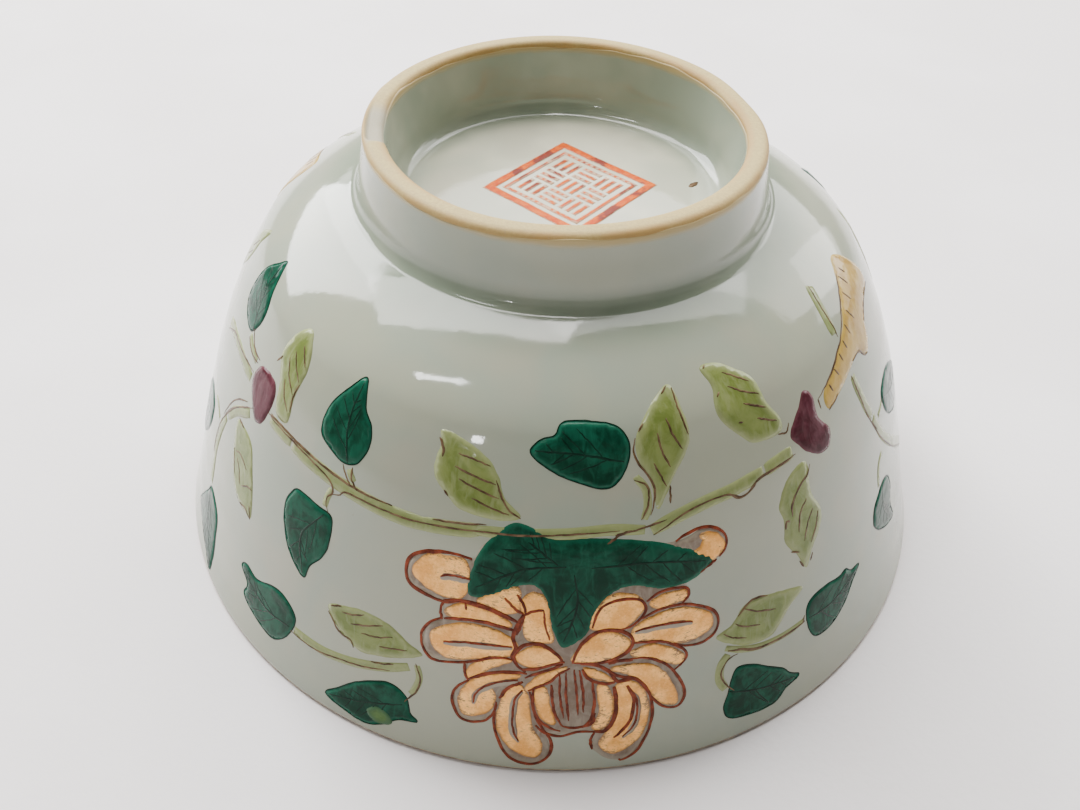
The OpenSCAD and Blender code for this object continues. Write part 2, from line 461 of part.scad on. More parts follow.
porcelain_body();
outer_glaze();
inner_glaze();
foot_well_glaze();
lip_dressing();
seal_frame();
seal_fret();
vine(front);  // front_vine
vine_lines(front);  // front_vine_lines
dark_leaf_enamel(front);  // front_dark_leaves
pale_leaf_enamel(front);  // front_pale_leaves
leaf_vein_lines(front);  // front_leaf_veins
calyx(front);  // front_calyx
gold_petal_layer(front);  // front_gold_petals
petal_lines(front);  // front_petal_lines
petal_stripes(front);  // front_petal_stripes
bud_enamel(front);  // front_buds
branch(front);  // front_branch
branch_ticks(front);  // front_branch_ticks
vine(back);  // back_vine
vine_lines(back);  // back_vine_lines
dark_leaf_enamel(back);  // back_dark_leaves
pale_leaf_enamel(back);  // back_pale_leaves
leaf_vein_lines(back);  // back_leaf_veins
calyx(back);  // back_calyx
gold_petal_layer(back);  // back_gold_petals
petal_lines(back);  // back_petal_lines
petal_stripes(back);  // back_petal_stripes
bud_enamel(back);  // back_buds
branch(back);  // back_branch
branch_ticks(back);  // back_branch_ticks
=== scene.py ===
import math

import bpy
import numpy as np
from mathutils import Matrix, Vector
from mathutils.geometry import delaunay_2d_cdt


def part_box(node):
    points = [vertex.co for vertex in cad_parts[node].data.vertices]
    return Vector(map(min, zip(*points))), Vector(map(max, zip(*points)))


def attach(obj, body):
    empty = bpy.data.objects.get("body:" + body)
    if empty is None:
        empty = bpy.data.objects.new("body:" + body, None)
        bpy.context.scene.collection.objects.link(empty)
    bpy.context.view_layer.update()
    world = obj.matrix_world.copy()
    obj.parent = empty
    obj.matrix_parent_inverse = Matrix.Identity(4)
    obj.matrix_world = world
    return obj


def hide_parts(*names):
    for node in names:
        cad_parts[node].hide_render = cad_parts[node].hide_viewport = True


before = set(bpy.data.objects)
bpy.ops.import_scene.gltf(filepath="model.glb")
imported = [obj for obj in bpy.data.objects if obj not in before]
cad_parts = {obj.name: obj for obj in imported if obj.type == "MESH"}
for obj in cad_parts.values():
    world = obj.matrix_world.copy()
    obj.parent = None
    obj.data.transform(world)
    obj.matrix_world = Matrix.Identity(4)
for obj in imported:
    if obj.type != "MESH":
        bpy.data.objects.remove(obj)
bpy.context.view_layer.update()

# An upturned tea bowl: clay, clear glaze, a brown lip, and two painted flower sprays fused on the
# glaze. Lengths below are in millimetres and are turned into metres when a mesh is made.
MM = 0.001
MOUTH_R = max(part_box("lip_dressing")[1].x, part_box("lip_dressing")[1].y) / MM
BOWL_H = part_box("porcelain_body")[1].z / MM
FLOOR_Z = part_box("seal_frame")[0].z / MM
LIP_T, BASE_T = 2.2, 3.6          # wall thickness at the lip and at the base
ROOT_R, TIP_R, FOOT_T = 25.7, 24.7, 2.7   # foot ring: radius at its root and tip, thickness
TIP_IN_R = TIP_R - FOOT_T
GLAZE_T = 0.3
GLAZE_GAP = 0.9                   # bare clay below the tip of the foot ring
LIP_H = 1.3                       # how far up from the mouth's edge the lip is rounded
COAT_SUNK = 0.1                   # how far the glaze reaches into the clay that it lies on
# Turns are in radians from the front, growing to +X
FLAT_TURN, FLAT_WIDE, FLAT_DEEP = 1.94, 0.2, 0.4    # a flattened stretch of the foot ring
CHIP_START, CHIP_END, CHIP_DEEP = -1.80, -1.29, 0.8    # a chip in its tip
THROWING_RING = 5.5               # from one faint throwing ring to the next


# ---- The wall's outline ----

def bezier(a, b, c, d, steps, start=0):
    a, b, c, d = (np.array(p, float) for p in (a, b, c, d))
    t = np.linspace(0, 1, steps + 1)[start:, None]
    return (1 - t) ** 3 * a + 3 * (1 - t) ** 2 * t * b + 3 * (1 - t) * t ** 2 * c + t ** 3 * d


def corner(a, b, c, steps, start=0):
    a, b, c = (np.array(p, float) for p in (a, b, c))
    return bezier(a, (a + 2 * b) / 3, (c + 2 * b) / 3, c, steps, start)


def wall_at(fr, fz):
    return (fr * MOUTH_R, fz * BOWL_H)


SHOULDER = wall_at(0.716, 0.721)
JUNCTION = (ROOT_R + 1.3, 0.84 * BOWL_H)
WALL = np.vstack([
    bezier(wall_at(1, 0), wall_at(0.937, 0.15), wall_at(0.883, 0.49), SHOULDER, 96),
    bezier(SHOULDER, wall_at(0.686, 0.763), wall_at(0.587, 0.816), JUNCTION, 40, 1),
])


def run_length(p):
    return np.concatenate([[0], np.cumsum(np.hypot(*np.diff(p, axis=0).T))])


def normals(p):
    d = np.gradient(p, axis=0)
    d /= np.hypot(d[:, 0], d[:, 1])[:, None]
    return np.stack([d[:, 1], -d[:, 0]], 1)


WALL_RUN = run_length(WALL)
WALL_OUT = normals(WALL)


def wall_r(up):
    return np.interp(up, WALL_RUN, WALL[:, 0])


FOOT_SIDE = np.vstack([
    corner(JUNCTION, (ROOT_R + 0.1, JUNCTION[1] + 0.3), (ROOT_R - 0.15, JUNCTION[1] + 2.4), 14, 1),
    bezier((ROOT_R - 0.15, JUNCTION[1] + 2.4), (ROOT_R - 0.35, JUNCTION[1] + 4.4),
           (TIP_R + 0.15, BOWL_H - 3), (TIP_R, BOWL_H - GLAZE_GAP), 10, 1),
])
WELL = np.vstack([
    corner((TIP_IN_R, BOWL_H - GLAZE_GAP), (TIP_IN_R - 0.5, BOWL_H - 5),
           (TIP_IN_R - 0.8, FLOOR_Z + 2.6), 10),
    corner((TIP_IN_R - 0.8, FLOOR_Z + 2.6), (TIP_IN_R - 1, FLOOR_Z), (TIP_IN_R - 3.6, FLOOR_Z), 14, 1),
    bezier((TIP_IN_R - 3.6, FLOOR_Z), (14, FLOOR_Z), (6, FLOOR_Z), (0, FLOOR_Z), 14, 1),
])
OUTSIDE = np.vstack([WALL, FOOT_SIDE])
OUTSIDE_CLAY = OUTSIDE - GLAZE_T * normals(OUTSIDE)
WELL_CLAY = WELL - GLAZE_T * normals(WELL)
WELL_CLAY[-1, 0] = 0
thickness = LIP_T + (BASE_T - LIP_T) * WALL_RUN / WALL_RUN[-1]
inner_wall = (WALL - thickness[:, None] * WALL_OUT)[::3]
INSIDE = np.vstack([
    inner_wall[:-4],
    bezier(inner_wall[-4], inner_wall[-4] + (-5, 2.1), (12, FLOOR_Z - 3.3), (0, FLOOR_Z - 3.3), 24, 1),
])
INSIDE_CLAY = INSIDE + GLAZE_T * normals(INSIDE)
INSIDE_CLAY[-1, 0] = 0


# ---- From drawings to the wall ----

def slope(x, start, end):
    """0 at start, 1 at end and straight in between."""
    return np.clip((x - start) / (end - start), 0, 1)


def thrown(p):
    """Moves points the little that throwing, firing and wear have moved the bowl from true."""
    turn = np.arctan2(p[:, 0], -p[:, 1])
    r = np.hypot(p[:, 0], p[:, 1])
    rise = slope(p[:, 2], 0, BOWL_H)
    sway = 0.10 * np.sin(2 * turn + 0.6) + 0.06 * np.sin(3 * turn + 2.1) + 0.04 * np.sin(5 * turn + 4)
    rings = 0.02 * np.sin(2 * np.pi * p[:, 2] / THROWING_RING + turn)
    flat = -FLAT_DEEP * np.exp(-((turn - FLAT_TURN) / FLAT_WIDE) ** 2) * slope(rise, 0.86, 1)
    out = (sway * (0.4 + rise) + rings + flat) * slope(r, 0, 20)
    tip = slope(rise, 0.88, 1) * (0.16 * np.sin(2 * turn + 1) + 0.08 * np.sin(3 * turn) - 0.2)
    chip = slope(turn, CHIP_START, CHIP_START + 0.3)
    chip *= slope(turn + 0.02 * (r - 23), CHIP_END, CHIP_END - 0.05)
    chip *= slope(rise, 0.965, 0.985) * slope(r, TIP_R - 0.3, TIP_R - 0.8)
    scale = (r + out) / np.maximum(r, 1e-6)
    return np.stack([p[:, 0] * scale, p[:, 1] * scale, p[:, 2] + tip - CHIP_DEEP * chip], 1)


SEAL_SPOT = "seal"
SEAL_X, SEAL_Y, SEAL_TURN = 1, 1.5, math.radians(51)


def on_floor(drawn, lift):
    """Drawn points, in millimetres along the seal's sides from its centre, on the floor of the well."""
    x = SEAL_X + drawn[:, 0] * math.cos(SEAL_TURN) - drawn[:, 1] * math.sin(SEAL_TURN)
    y = SEAL_Y + drawn[:, 0] * math.sin(SEAL_TURN) + drawn[:, 1] * math.cos(SEAL_TURN)
    return thrown(np.stack([x, y, FLOOR_Z + lift], 1))


def on_wall(spot, drawn, lift):
    """Drawn points, in millimetres round the bowl and up the wall from a spot, at a height off the glaze."""
    if spot == SEAL_SPOT:
        return on_floor(drawn, lift)
    up = spot[1] + drawn[:, 1]
    turn = math.radians(spot[0]) + drawn[:, 0] / wall_r(spot[1])
    r = np.interp(up, WALL_RUN, WALL[:, 0]) + lift * np.interp(up, WALL_RUN, WALL_OUT[:, 0])
    z = np.interp(up, WALL_RUN, WALL[:, 1]) + lift * np.interp(up, WALL_RUN, WALL_OUT[:, 1])
    return thrown(np.stack([r * np.sin(turn), -r * np.cos(turn), z], 1))


def move_spot(drawn, old, new):
    """The same points on the wall, drawn from another spot."""
    turn = math.radians(old[0] - new[0]) + drawn[:, 0] / wall_r(old[1])
    return np.stack([turn * wall_r(new[1]), drawn[:, 1] + old[1] - new[1]], 1)


def spline(points, closed, spacing):
    """A smooth line through points, in even steps."""
    p = np.array(points, float)
    n = len(p)
    if closed:
        q = np.vstack([p[-1:], p, p[:2]])
        last = n
    else:
        q = np.vstack([2 * p[:1] - p[1:2], p, 2 * p[-1:] - p[-2:-1]])
        last = n - 1
    t = np.linspace(0, 1, 12, endpoint=False)[:, None]
    bits = []
    for i in range(last):
        a, b, c, d = q[i], q[i + 1], q[i + 2], q[i + 3]
        bits.append(0.5 * (2 * b + (c - a) * t + (2 * a - 5 * b + 4 * c - d) * t ** 2
                           + (3 * b - a - 3 * c + d) * t ** 3))
    bits.append(p[:1] if closed else p[-1:])
    line = np.vstack(bits)
    run = run_length(line)
    count = max(3 if closed else 2, int(round(run[-1] / spacing)) + (0 if closed else 1))
    at = np.linspace(0, run[-1], count + 1)[:-1] if closed else np.linspace(0, run[-1], count)
    return np.stack([np.interp(at, run, line[:, 0]), np.interp(at, run, line[:, 1])], 1)


def shaky(line, closed, amount, seed):
    """A hand's small unevenness along a line."""
    rng = np.random.default_rng(seed)
    run = run_length(np.vstack([line, line[:1]]) if closed else line)
    total = run[-1]
    at = run[:len(line)] / total * 2 * np.pi
    sway = sum(rng.uniform(-1, 1) / (1 + 0.15 * k) * np.sin(k * at + rng.uniform(0, 6.3))
               for k in range(2, 4 + int(total / 1.2)))
    sway *= amount / max(np.abs(sway).max(), 1e-9)
    return line + sway[:, None] * sides(line, closed)


def sides(line, closed):
    """Unit steps to the left of a line."""
    d = np.roll(line, -1, 0) - np.roll(line, 1, 0) if closed else np.gradient(line, axis=0)
    d = d / np.maximum(np.hypot(d[:, 0], d[:, 1]), 1e-9)[:, None]
    return np.stack([-d[:, 1], d[:, 0]], 1)


def inside(points, loop):
    a, b = loop, np.roll(loop, -1, 0)
    x, y = points[:, :1], points[:, 1:]
    crosses = (a[:, 1] > y) != (b[:, 1] > y)
    with np.errstate(divide="ignore", invalid="ignore"):
        at = (b[:, 0] - a[:, 0]) * (y - a[:, 1]) / (b[:, 1] - a[:, 1]) + a[:, 0]
    return (crosses & (x < at)).sum(1) % 2 == 1


def distance(points, loop):
    a, d = loop, np.roll(loop, -1, 0) - loop
    long = np.maximum((d * d).sum(1), 1e-12)
    best = []
    for some in np.array_split(points, 1 + len(points) * len(loop) // 400000):
        off = some[:, None] - a
        t = np.clip((off * d).sum(2) / long, 0, 1)
        off -= t[:, :, None] * d
        best.append(np.sqrt((off * off).sum(2).min(1)))
    return np.concatenate(best)


def outward(loop):
    """Unit steps out of a closed loop."""
    out = sides(loop, True)
    area = np.sum(loop[:, 0] * np.roll(loop[:, 1], -1) - np.roll(loop[:, 0], -1) * loop[:, 1])
    return -out if area > 0 else out


def ribbon(path, width, spacing=0.35):
    """The outline of a stroke along a path, with rounded, narrower ends."""
    line = spline(path, False, spacing)
    at = np.linspace(0, 1, len(line))
    half = width / 2 * (0.8 + 0.2 * np.minimum(1, np.minimum(at, 1 - at) * 8))
    out = sides(line, False) * half[:, None]
    return np.vstack([line + out, (line - out)[::-1]])


# ---- Mesh making ----

def signed_volume(points, faces):
    fans = np.array([(f[0], f[i], f[i + 1]) for f in faces for i in range(1, len(f) - 1)])
    a, b, c = points[fans[:, 0]], points[fans[:, 1]], points[fans[:, 2]]
    return (a * np.cross(b, c)).sum()


class Layer:
    """Gathers closed solids that will be one piece."""

    def __init__(self):
        self.points, self.faces, self.drawn, self.tone = [], [], [], []
        self.count = 0

    def add(self, points, faces, drawn, tone):
        if signed_volume(points - points.mean(0), faces) < 0:
            faces = [f[::-1] for f in faces]
        self.points.append(points)
        self.faces += [tuple(i + self.count for i in f) for f in faces]
        self.drawn.append(drawn)
        self.tone.append(np.full(len(points), tone))
        self.count += len(points)

    def piece(self, name, slot, node, material):
        mesh = bpy.data.meshes.new(name)
        mesh.from_pydata(np.vstack(self.points) * MM, [], self.faces)
        drawn = mesh.attributes.new("drawn", "FLOAT_VECTOR", "POINT")
        drawn.data.foreach_set("vector", np.vstack(self.drawn).ravel())
        tone = mesh.attributes.new("tone", "FLOAT", "POINT")
        tone.data.foreach_set("value", np.concatenate(self.tone))
        return finish_piece(mesh, name, node, material)


def finish_piece(mesh, name, node, material):
    mesh.polygons.foreach_set("use_smooth", [True] * len(mesh.polygons))
    mesh.update()
    mesh.materials.append(material)
    piece = bpy.data.objects.new(name, mesh)
    bpy.context.scene.collection.objects.link(piece)
    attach(piece, "root")
    if node:
        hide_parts(node)
    return piece


def turned(name, outline, closed, node, material, segments=320, wave=None):
    """Turns an outline about the axis. An open outline starts and ends on the axis."""
    rings = outline if closed else outline[1:-1]
    turn = np.arange(segments) * 2 * np.pi / segments
    points = np.stack([np.outer(np.sin(turn), rings[:, 0]), -np.outer(np.cos(turn), rings[:, 0]),
                       np.tile(rings[:, 1], (segments, 1))], 2).reshape(-1, 3)
    n = len(rings)
    faces = []
    for s in range(segments):
        here, there = s * n, (s + 1) % segments * n
        for i in range(n if closed else n - 1):
            j = (i + 1) % n
            faces.append((here + i, there + i, there + j, here + j))
    if not closed:
        first, last = len(points), len(points) + 1
        points = np.vstack([points, [[0, 0, outline[0, 1]], [0, 0, outline[-1, 1]]]])
        for s in range(segments):
            here, there = s * n, (s + 1) % segments * n
            faces.append((first, there, here))
            faces.append((last, here + n - 1, there + n - 1))
    if signed_volume(points, faces) < 0:
        faces = [f[::-1] for f in faces]
    points = thrown(points)
    if wave is not None:
        points = wave(points)
    mesh = bpy.data.meshes.new(name)
    mesh.from_pydata(points * MM, [], faces)
    return finish_piece(mesh, name, node, material)


def triangles(loops, grid, keep):
    """Fills an area with small even triangles. keep says which points are in it."""
    low, high = loops[0].min(0), loops[0].max(0)
    rows = np.arange(low[1], high[1], grid * 0.87)
    spots = np.array([(x + (k % 2) * grid / 2, y) for k, y in enumerate(rows)
                      for x in np.arange(low[0], high[0], grid)]).reshape(-1, 2)
    if len(spots):
        near = np.min([distance(spots, loop) for loop in loops], axis=0)
        spots = spots[keep(spots) & (near > 0.45 * grid)]
    points = np.vstack(loops + [spots])
    edges, start = [], 0
    for loop in loops:
        edges += [(start + i, start + (i + 1) % len(loop)) for i in range(len(loop))]
        start += len(loop)
    made = delaunay_2d_cdt([Vector(p) for p in points], edges, [], 0, 1e-5)
    points = np.array([tuple(v) for v in made[0]])
    faces = np.array([f for f in made[2] if len(f) == 3])
    faces = faces[keep(points[faces].mean(1))]
    used = np.unique(faces)
    renumber = np.full(len(points), -1)
    renumber[used] = np.arange(len(used))
    return points[used], renumber[faces]


def sheet(outline, grid):
    """A sheet of triangles that fills an outline."""
    return triangles([outline], grid, lambda p: inside(p, outline))


def solid(layer, spot, points, faces, lift, sunk, edge, tone):
    """Closes a sheet of triangles on the wall into a thin solid that is sunk in the glaze."""
    n = len(points)
    a, b, c = points[faces[:, 0]], points[faces[:, 1]], points[faces[:, 2]]
    area = (b[:, 0] - a[:, 0]) * (c[:, 1] - a[:, 1]) - (b[:, 1] - a[:, 1]) * (c[:, 0] - a[:, 0])
    faces = np.where((area < 0)[:, None], faces[:, ::-1], faces)
    rim = {}
    for f in faces:
        for i in range(3):
            p, q = int(f[i]), int(f[(i + 1) % 3])
            if (q, p) in rim:
                del rim[(q, p)]
            else:
                rim[(p, q)] = True
    solid_points = np.vstack([on_wall(spot, points, lift), on_wall(spot, points, np.full(n, -sunk))])
    all_faces = [tuple(int(i) for i in f) for f in faces]
    all_faces += [tuple(int(i) + n for i in f[::-1]) for f in faces]
    all_faces += [(q, p, p + n, q + n) for p, q in rim]
    drawn = np.column_stack([points, edge])
    layer.add(solid_points, all_faces, np.vstack([drawn, drawn]), tone)


def dome(edge, height, width):
    """The height of a patch at a distance from its edge, which is rounded over a width."""
    x = np.clip(1 - edge / width, 0, 1)
    return height * np.sqrt(1 - x * x)


def patch(layer, spot, outline, height, tone, width, grid, sunk, base=0.0):
    """A thin raised patch. Its edge is rounded over a width, and stands at base off the glaze."""
    points, faces = sheet(outline, grid)
    edge = distance(points, outline)
    solid(layer, spot, points, faces, base + dome(edge, height, width), sunk, edge, tone)


enamels = []      # every raised patch of enamel: spot, outline, height, width of its rounded edge


def enamel(layer, spot, outline, height, tone, width, grid=0.55):
    """A patch of enamel, which later strokes are laid over."""
    patch(layer, spot, outline, height, tone, width, grid, 0.06)
    enamels.append((spot, outline, height, width))


def enamel_height(spot, points):
    """How high the enamel already laid stands at drawn points."""
    height = np.zeros(len(points))
    for other, outline, h, width in enamels:
        here = move_spot(points, spot, other)
        near = ((here > outline.min(0)) & (here < outline.max(0))).all(1)
        if near.any():
            within = np.zeros(len(points), bool)
            within[near] = inside(here[near], outline)
            if within.any():
                raised = dome(distance(here[within], outline), h, width)
                height[within] = np.maximum(height[within], raised)
    return height


# A brush stroke's section: places across it from side to side, and its height there
ACROSS = np.array([-1, -0.55, 0, 0.55, 1])
SWELL = np.array([0.25, 0.85, 1, 0.85, 0.25])
STROKE_BASE, STROKE_SUNK = 0.01, 0.05


def brush(layer, spot, path, width, height, tone, seed, closed=False, taper=0.25, spacing=0.3):
    """A raised brush stroke, lying on whatever enamel is under it."""
    line = spline(path, closed, spacing)
    line = shaky(line, closed, 0.04, seed) if len(line) > 6 else line
    rng = np.random.default_rng(seed + 7)
    n = len(line)
    at = np.linspace(0, 1, n)
    half = width / 2 * (1 + 0.16 * np.sin(at * n * 0.35 + rng.uniform(0, 6)) * np.sin(at * 5 + seed))
    if not closed:
        half *= taper + (1 - taper) * np.minimum(1, np.minimum(at + 0.04, 1.02 - at) * 5)
    side = sides(line, closed)

    def over(places):
        return (line[:, None] + (half[:, None] * places)[:, :, None] * side[:, None]).reshape(-1, 2)

    top, foot = over(ACROSS), over(ACROSS[[-1, 0]])
    lift = enamel_height(spot, top) + STROKE_BASE + np.tile(height * SWELL, n)
    upper = on_wall(spot, top, lift).reshape(n, -1, 3)
    lower = on_wall(spot, foot, np.full(len(foot), -STROKE_SUNK)).reshape(n, -1, 3)
    points = np.concatenate([upper, lower], 1).reshape(-1, 3)
    k = len(ACROSS) + 2
    faces = []
    for i in range(n if closed else n - 1):
        here, there = i * k, (i + 1) % n * k
        faces += [(here + j, here + (j + 1) % k, there + (j + 1) % k, there + j) for j in range(k)]
    if not closed:
        faces.append(tuple(range(k))[::-1])
        faces.append(tuple(range((n - 1) * k, n * k)))
    middle = np.repeat(line, k, 0)
    across = np.tile(np.concatenate([ACROSS, ACROSS[[-1, 0]]]), n)
    layer.add(points, faces, np.column_stack([middle, across]), tone)


# ---- The drawings ----
# Points are in millimetres round the bowl and up the wall from a spot. A spot is the degrees round from
# the front and the millimetres up the wall from the mouth.

LEFT_BUD, LEFT_LEAVES, LOW_LEFT, FAR_LEFT = (-58, 38), (-33, 30), (-35, 10), (-64, 17)
RIGHT_BUD, TOP_RIGHT, LOW_RIGHT, FAR_RIGHT = (43, 33), (22, 42), (36, 12), (64, 20)
TOP, BRANCH, FLOWER, BEHIND_LEFT = (-8, 40), (62, 42), (4, 16), (-84, 40)
FINE_BRUSH, PETAL_BRUSH = 0.075, 0.09    # millimetres in one step of a line's width

# Dark and pale leaves: (outline, [vein, ...]), with a dark leaf's one vein from stem to tip
dark_leaves = [
    (LEFT_BUD, [([(-10.2, 4.5), (-9.6, 7.4), (-8.2, 9.2), (-7, 10.4), (-6, 9.4), (-4.6, 7.8), (-3, 5.4),
        (-3, 3), (-4.6, 0.9), (-7.6, 1.2), (-9.8, 2.4)], [[(-4, 1.4), (-5.6, 5.6), (-7, 9.8)]])]),
    (LEFT_LEAVES, [
        ([(-3.9, 9), (-3.6, 7.2), (-2, 6.2), (0.6, 5.4), (2.6, 6.2), (3.6, 8.6), (3.2, 10.8), (1.8, 12.4),
         (0.5, 15.6), (-1.4, 13.8), (-3.3, 11.2)], [[(1.2, 5.6), (0, 10), (0.4, 15)]]),
        ([(-5, -1.2), (-1.6, -1.5), (0.5, -2), (0.6, -5.6), (-0.2, -8), (-1.6, -10), (-2.4, -12.2),
         (-5, -10), (-6.3, -7.4), (-6.8, -4.4), (-6.2, -2.3)], [[(-0.6, -2), (-3.4, -6.6), (-2.5, -11.6)]]),
    ]),
    (LOW_LEFT, [
        ([(-13.3, 0.6), (-12, 1.8), (-9.6, 1.3), (-6, 2.8), (-3.6, 2.8), (-1.5, 1), (-2, -1.8),
         (-3.8, -4.4), (-6, -5.3), (-10.4, -4.2), (-12, -3), (-11.4, -1)], [[(-2.2, -1), (-7, -1.4),
         (-12.6, 0.4)]]),
        ([(4.5, -7.2), (6.4, -5.2), (8.6, -3), (11, -1.6), (13.2, -0.9), (15.3, -2), (16, -4.4), (17, -5.4),
         (14.6, -6), (12.6, -7.6), (10.4, -8.5), (7.2, -8.1)], [[(15, -3.4), (10.4, -5.2), (5.2, -7)]]),
    ]),
    (TOP, [([(3.5, 2.7), (4.6, 3.9), (6.1, 4.4), (7, 5.8), (10, 5.9), (13, 5.2), (14.3, 3.2), (13.8, 0.6),
        (12, -1.4), (9, -0.8), (6.2, 0.4), (4.2, 1.7)], [[(13.6, 1.4), (9, 2.4), (4, 2.7)]])]),
    (LOW_RIGHT, [
        ([(-8.4, -2), (-7.6, -0.7), (-5.6, -1.2), (-3, -3), (-1, -4.4), (0.2, -5.9), (1.7, -7.2),
         (-0.6, -8), (-2.4, -9.2), (-6, -9), (-8.8, -8.2), (-9.6, -6.2), (-8.9, -4)], [[(-8.8, -4),
         (-5, -5.4), (1, -7)]]),
        ([(3.1, 2), (4, 3.6), (6.6, 4), (9.6, 3.4), (11.2, 3.6), (12.4, 2.5), (14.5, 2), (12.6, 0.4),
         (10.8, -1.7), (8, -3.1), (5, -3), (3.6, -1)], [[(3.4, 1), (8, 0.6), (13.8, 1.9)]]),
    ]),
    (FAR_RIGHT, [
        ([(-2.9, 0.2), (-1, 0.7), (1, 0), (1.9, -2), (1.6, -5.4), (2.5, -8.2), (-0.6, -7.3), (-3.4, -5.6),
         (-5.2, -3.4), (-4.8, -1)], [[(-1.6, 0.4), (-1.6, -3.6), (2, -7.8)]]),
        ([(3, 11.6), (5.4, 12.6), (8.6, 12.3), (12, 10.6), (15, 8), (12.6, 5.4), (9, 5.2), (5.6, 6.7),
         (3.4, 9)], [[(3.2, 11), (8.4, 8.8), (14.2, 7.9)]]),
    ]),
    (FAR_LEFT, [
        ([(-5.8, 5.6), (-5.6, 3.2), (-7.4, 0.2), (-10, -2.4), (-13.6, -5.2), (-16, -6.8), (-16.6, -2),
         (-14.4, 3.4), (-10.6, 6), (-7.6, 6.3)], [[(-6.2, 5.4), (-11, 1.4), (-15.8, -6)]]),
        ([(-0.5, -3.9), (1.4, -4), (3.4, -5.6), (3.9, -9), (3.7, -15.3), (1, -14.2), (-2.6, -12.6),
         (-5.8, -11.4), (-4, -8.6), (-2, -6)], [[(-0.6, -4.2), (0, -9.4), (3.4, -14.6)]]),
    ]),
]
pale_leaves = [
    (LEFT_BUD, [([(4.2, 3.4), (4.6, 5.6), (6, 7.8), (7.4, 8.3), (9.2, 6.4), (9.8, 3.8), (9.2, 0.6),
        (9.4, -2.6), (8, -3.3), (6.6, -2.6), (6, 0), (5, 2)], [[(7.6, 6.4), (9.2, 4.4)], [(6.6, 5.2),
        (7.8, 3.6), (9.1, 2.4)], [(6, 4), (7, 2.2), (8.8, 0.6)], [(6.6, 1.4), (7.4, -0.2), (8.8, -1.6)]])]),
    (TOP, [([(-6.7, -0.4), (-6.3, 1.8), (-6.5, 3.3), (-4, 2.9), (-1.2, 1.4), (0.4, -0.6), (1.2, -2.8),
        (3, -4.8), (1, -5.5), (-3.2, -5), (-4.6, -3.9), (-6.3, -2.2)], [[(-4.2, 1.2), (-2, 0.8),
        (-0.6, 0.4)], [(-4.4, -0.3), (-2, -1), (0.2, -1.5)], [(-3.8, -1.6), (-1.4, -2.4), (0.6, -3)],
        [(-2.2, -3.4), (0, -4.2), (1.8, -4.7)]])]),
    (TOP_RIGHT, [
        ([(-1.2, 6.9), (-3, 6), (-5, 3.8), (-6.2, 1.6), (-6, -0.8), (-4.8, -3.4), (-4.3, -6.4), (-3.3, -5),
         (-2.2, -2.8), (-0.8, -0.8), (0, 1.4), (-0.5, 4.6)], [[(-2.5, 3.4), (-2, 1.6), (-1.1, -0.2)],
         [(-3.7, 2), (-3.4, 0), (-2.6, -1.9)], [(-4.4, -1.2), (-3.7, -2.8), (-3.2, -4)]]),
        ([(3.4, 7.8), (5.4, 8), (7.6, 6.8), (9.6, 4.8), (10.2, 1.8), (11.5, -0.8), (11.2, -2.3),
         (7.8, -2.2), (6, -0.8), (3.9, 1.8), (3.6, 3.6), (4, 5.6)], [[(6, 6.6), (7, 6), (9, 4.6)], [(6, 5),
         (7.4, 4), (9.6, 2.9)], [(7.2, 2.6), (8.8, 1.8), (10, 1.2)], [(8.5, 0.5), (9.8, -0.2),
         (11, -0.8)]]),
    ]),
    (RIGHT_BUD, [([(-0.7, 1.4), (-2.2, 1.8), (-4.4, 0.6), (-5.7, -2), (-5.3, -4), (-5.3, -7), (-3.8, -9.3),
        (-2.4, -12.2), (-1.3, -10), (0.5, -7.2), (0.5, -5), (-0.7, -2.4)], [[(-1.2, 0), (-2.4, -0.8),
        (-3.7, -2.4), (-4, -4)], [(-1.6, -2.8), (-2.8, -4.2), (-3.2, -6.6)], [(-0.8, -4.6), (-1.8, -6.2),
        (-2.5, -8.2)], [(0, -5.4), (-0.4, -7), (-1.5, -9)]])]),
    (LOW_RIGHT, [([(-10.6, 5), (-8.5, 6.1), (-6.8, 8), (-4.6, 8.5), (-1, 7.7), (2.6, 6.4), (0.4, 4.8),
        (-1.2, 3), (-2.6, 1.9), (-5, 1.8), (-8, 2.9)], [[(-6.6, 7.7), (-4.8, 6.6), (-2, 5.6)], [(-8, 6.1),
        (-6.8, 5.2), (-4.4, 4.4)], [(-9.6, 5.2), (-8.4, 4.2), (-6.4, 3.3)]])]),
    (LOW_LEFT, [([(3.6, 6.3), (5.8, 7.4), (9, 8.1), (12.4, 7.7), (15, 6.1), (17, 4.9), (14.6, 3.6),
        (12, 2.7), (9.4, 2), (7.8, 2.3), (5.9, 3.3), (4.4, 4.8)], [[(5.8, 6.4), (7.4, 6.8), (9, 7.6)],
        [(7.2, 5.4), (9, 6), (11.6, 7.2)], [(8.8, 4.8), (11, 5.2), (13, 6.1)], [(11.4, 4), (13, 4.4),
        (15, 4.9)]])]),
    (FAR_LEFT, [([(4.6, 11.4), (5.2, 8), (6.2, 4.8), (8.4, 2.3), (11, 1.8), (12.8, 2), (12.3, 5.4),
        (11.4, 8.4), (9.8, 11.2), (7, 12)], [[(6.2, 7.8), (7.8, 8.3), (10, 7.5)], [(7, 7.2), (8, 6.2),
        (8.8, 4.4)], [(5.6, 7.8), (6.4, 6), (6.9, 4.6)], [(9.4, 4.6), (11, 5.6), (12, 5.7)]])]),
    (BEHIND_LEFT, [([(-3, -3.6), (-1.4, -2), (0.6, 0.4), (1.8, 3.4), (2.2, 6.6), (0, 5.4), (-2, 3),
        (-3.4, 0)], [[(-1, 1.6), (1, 4)], [(-2, -0.6), (0.4, 1.8)]])]),
]
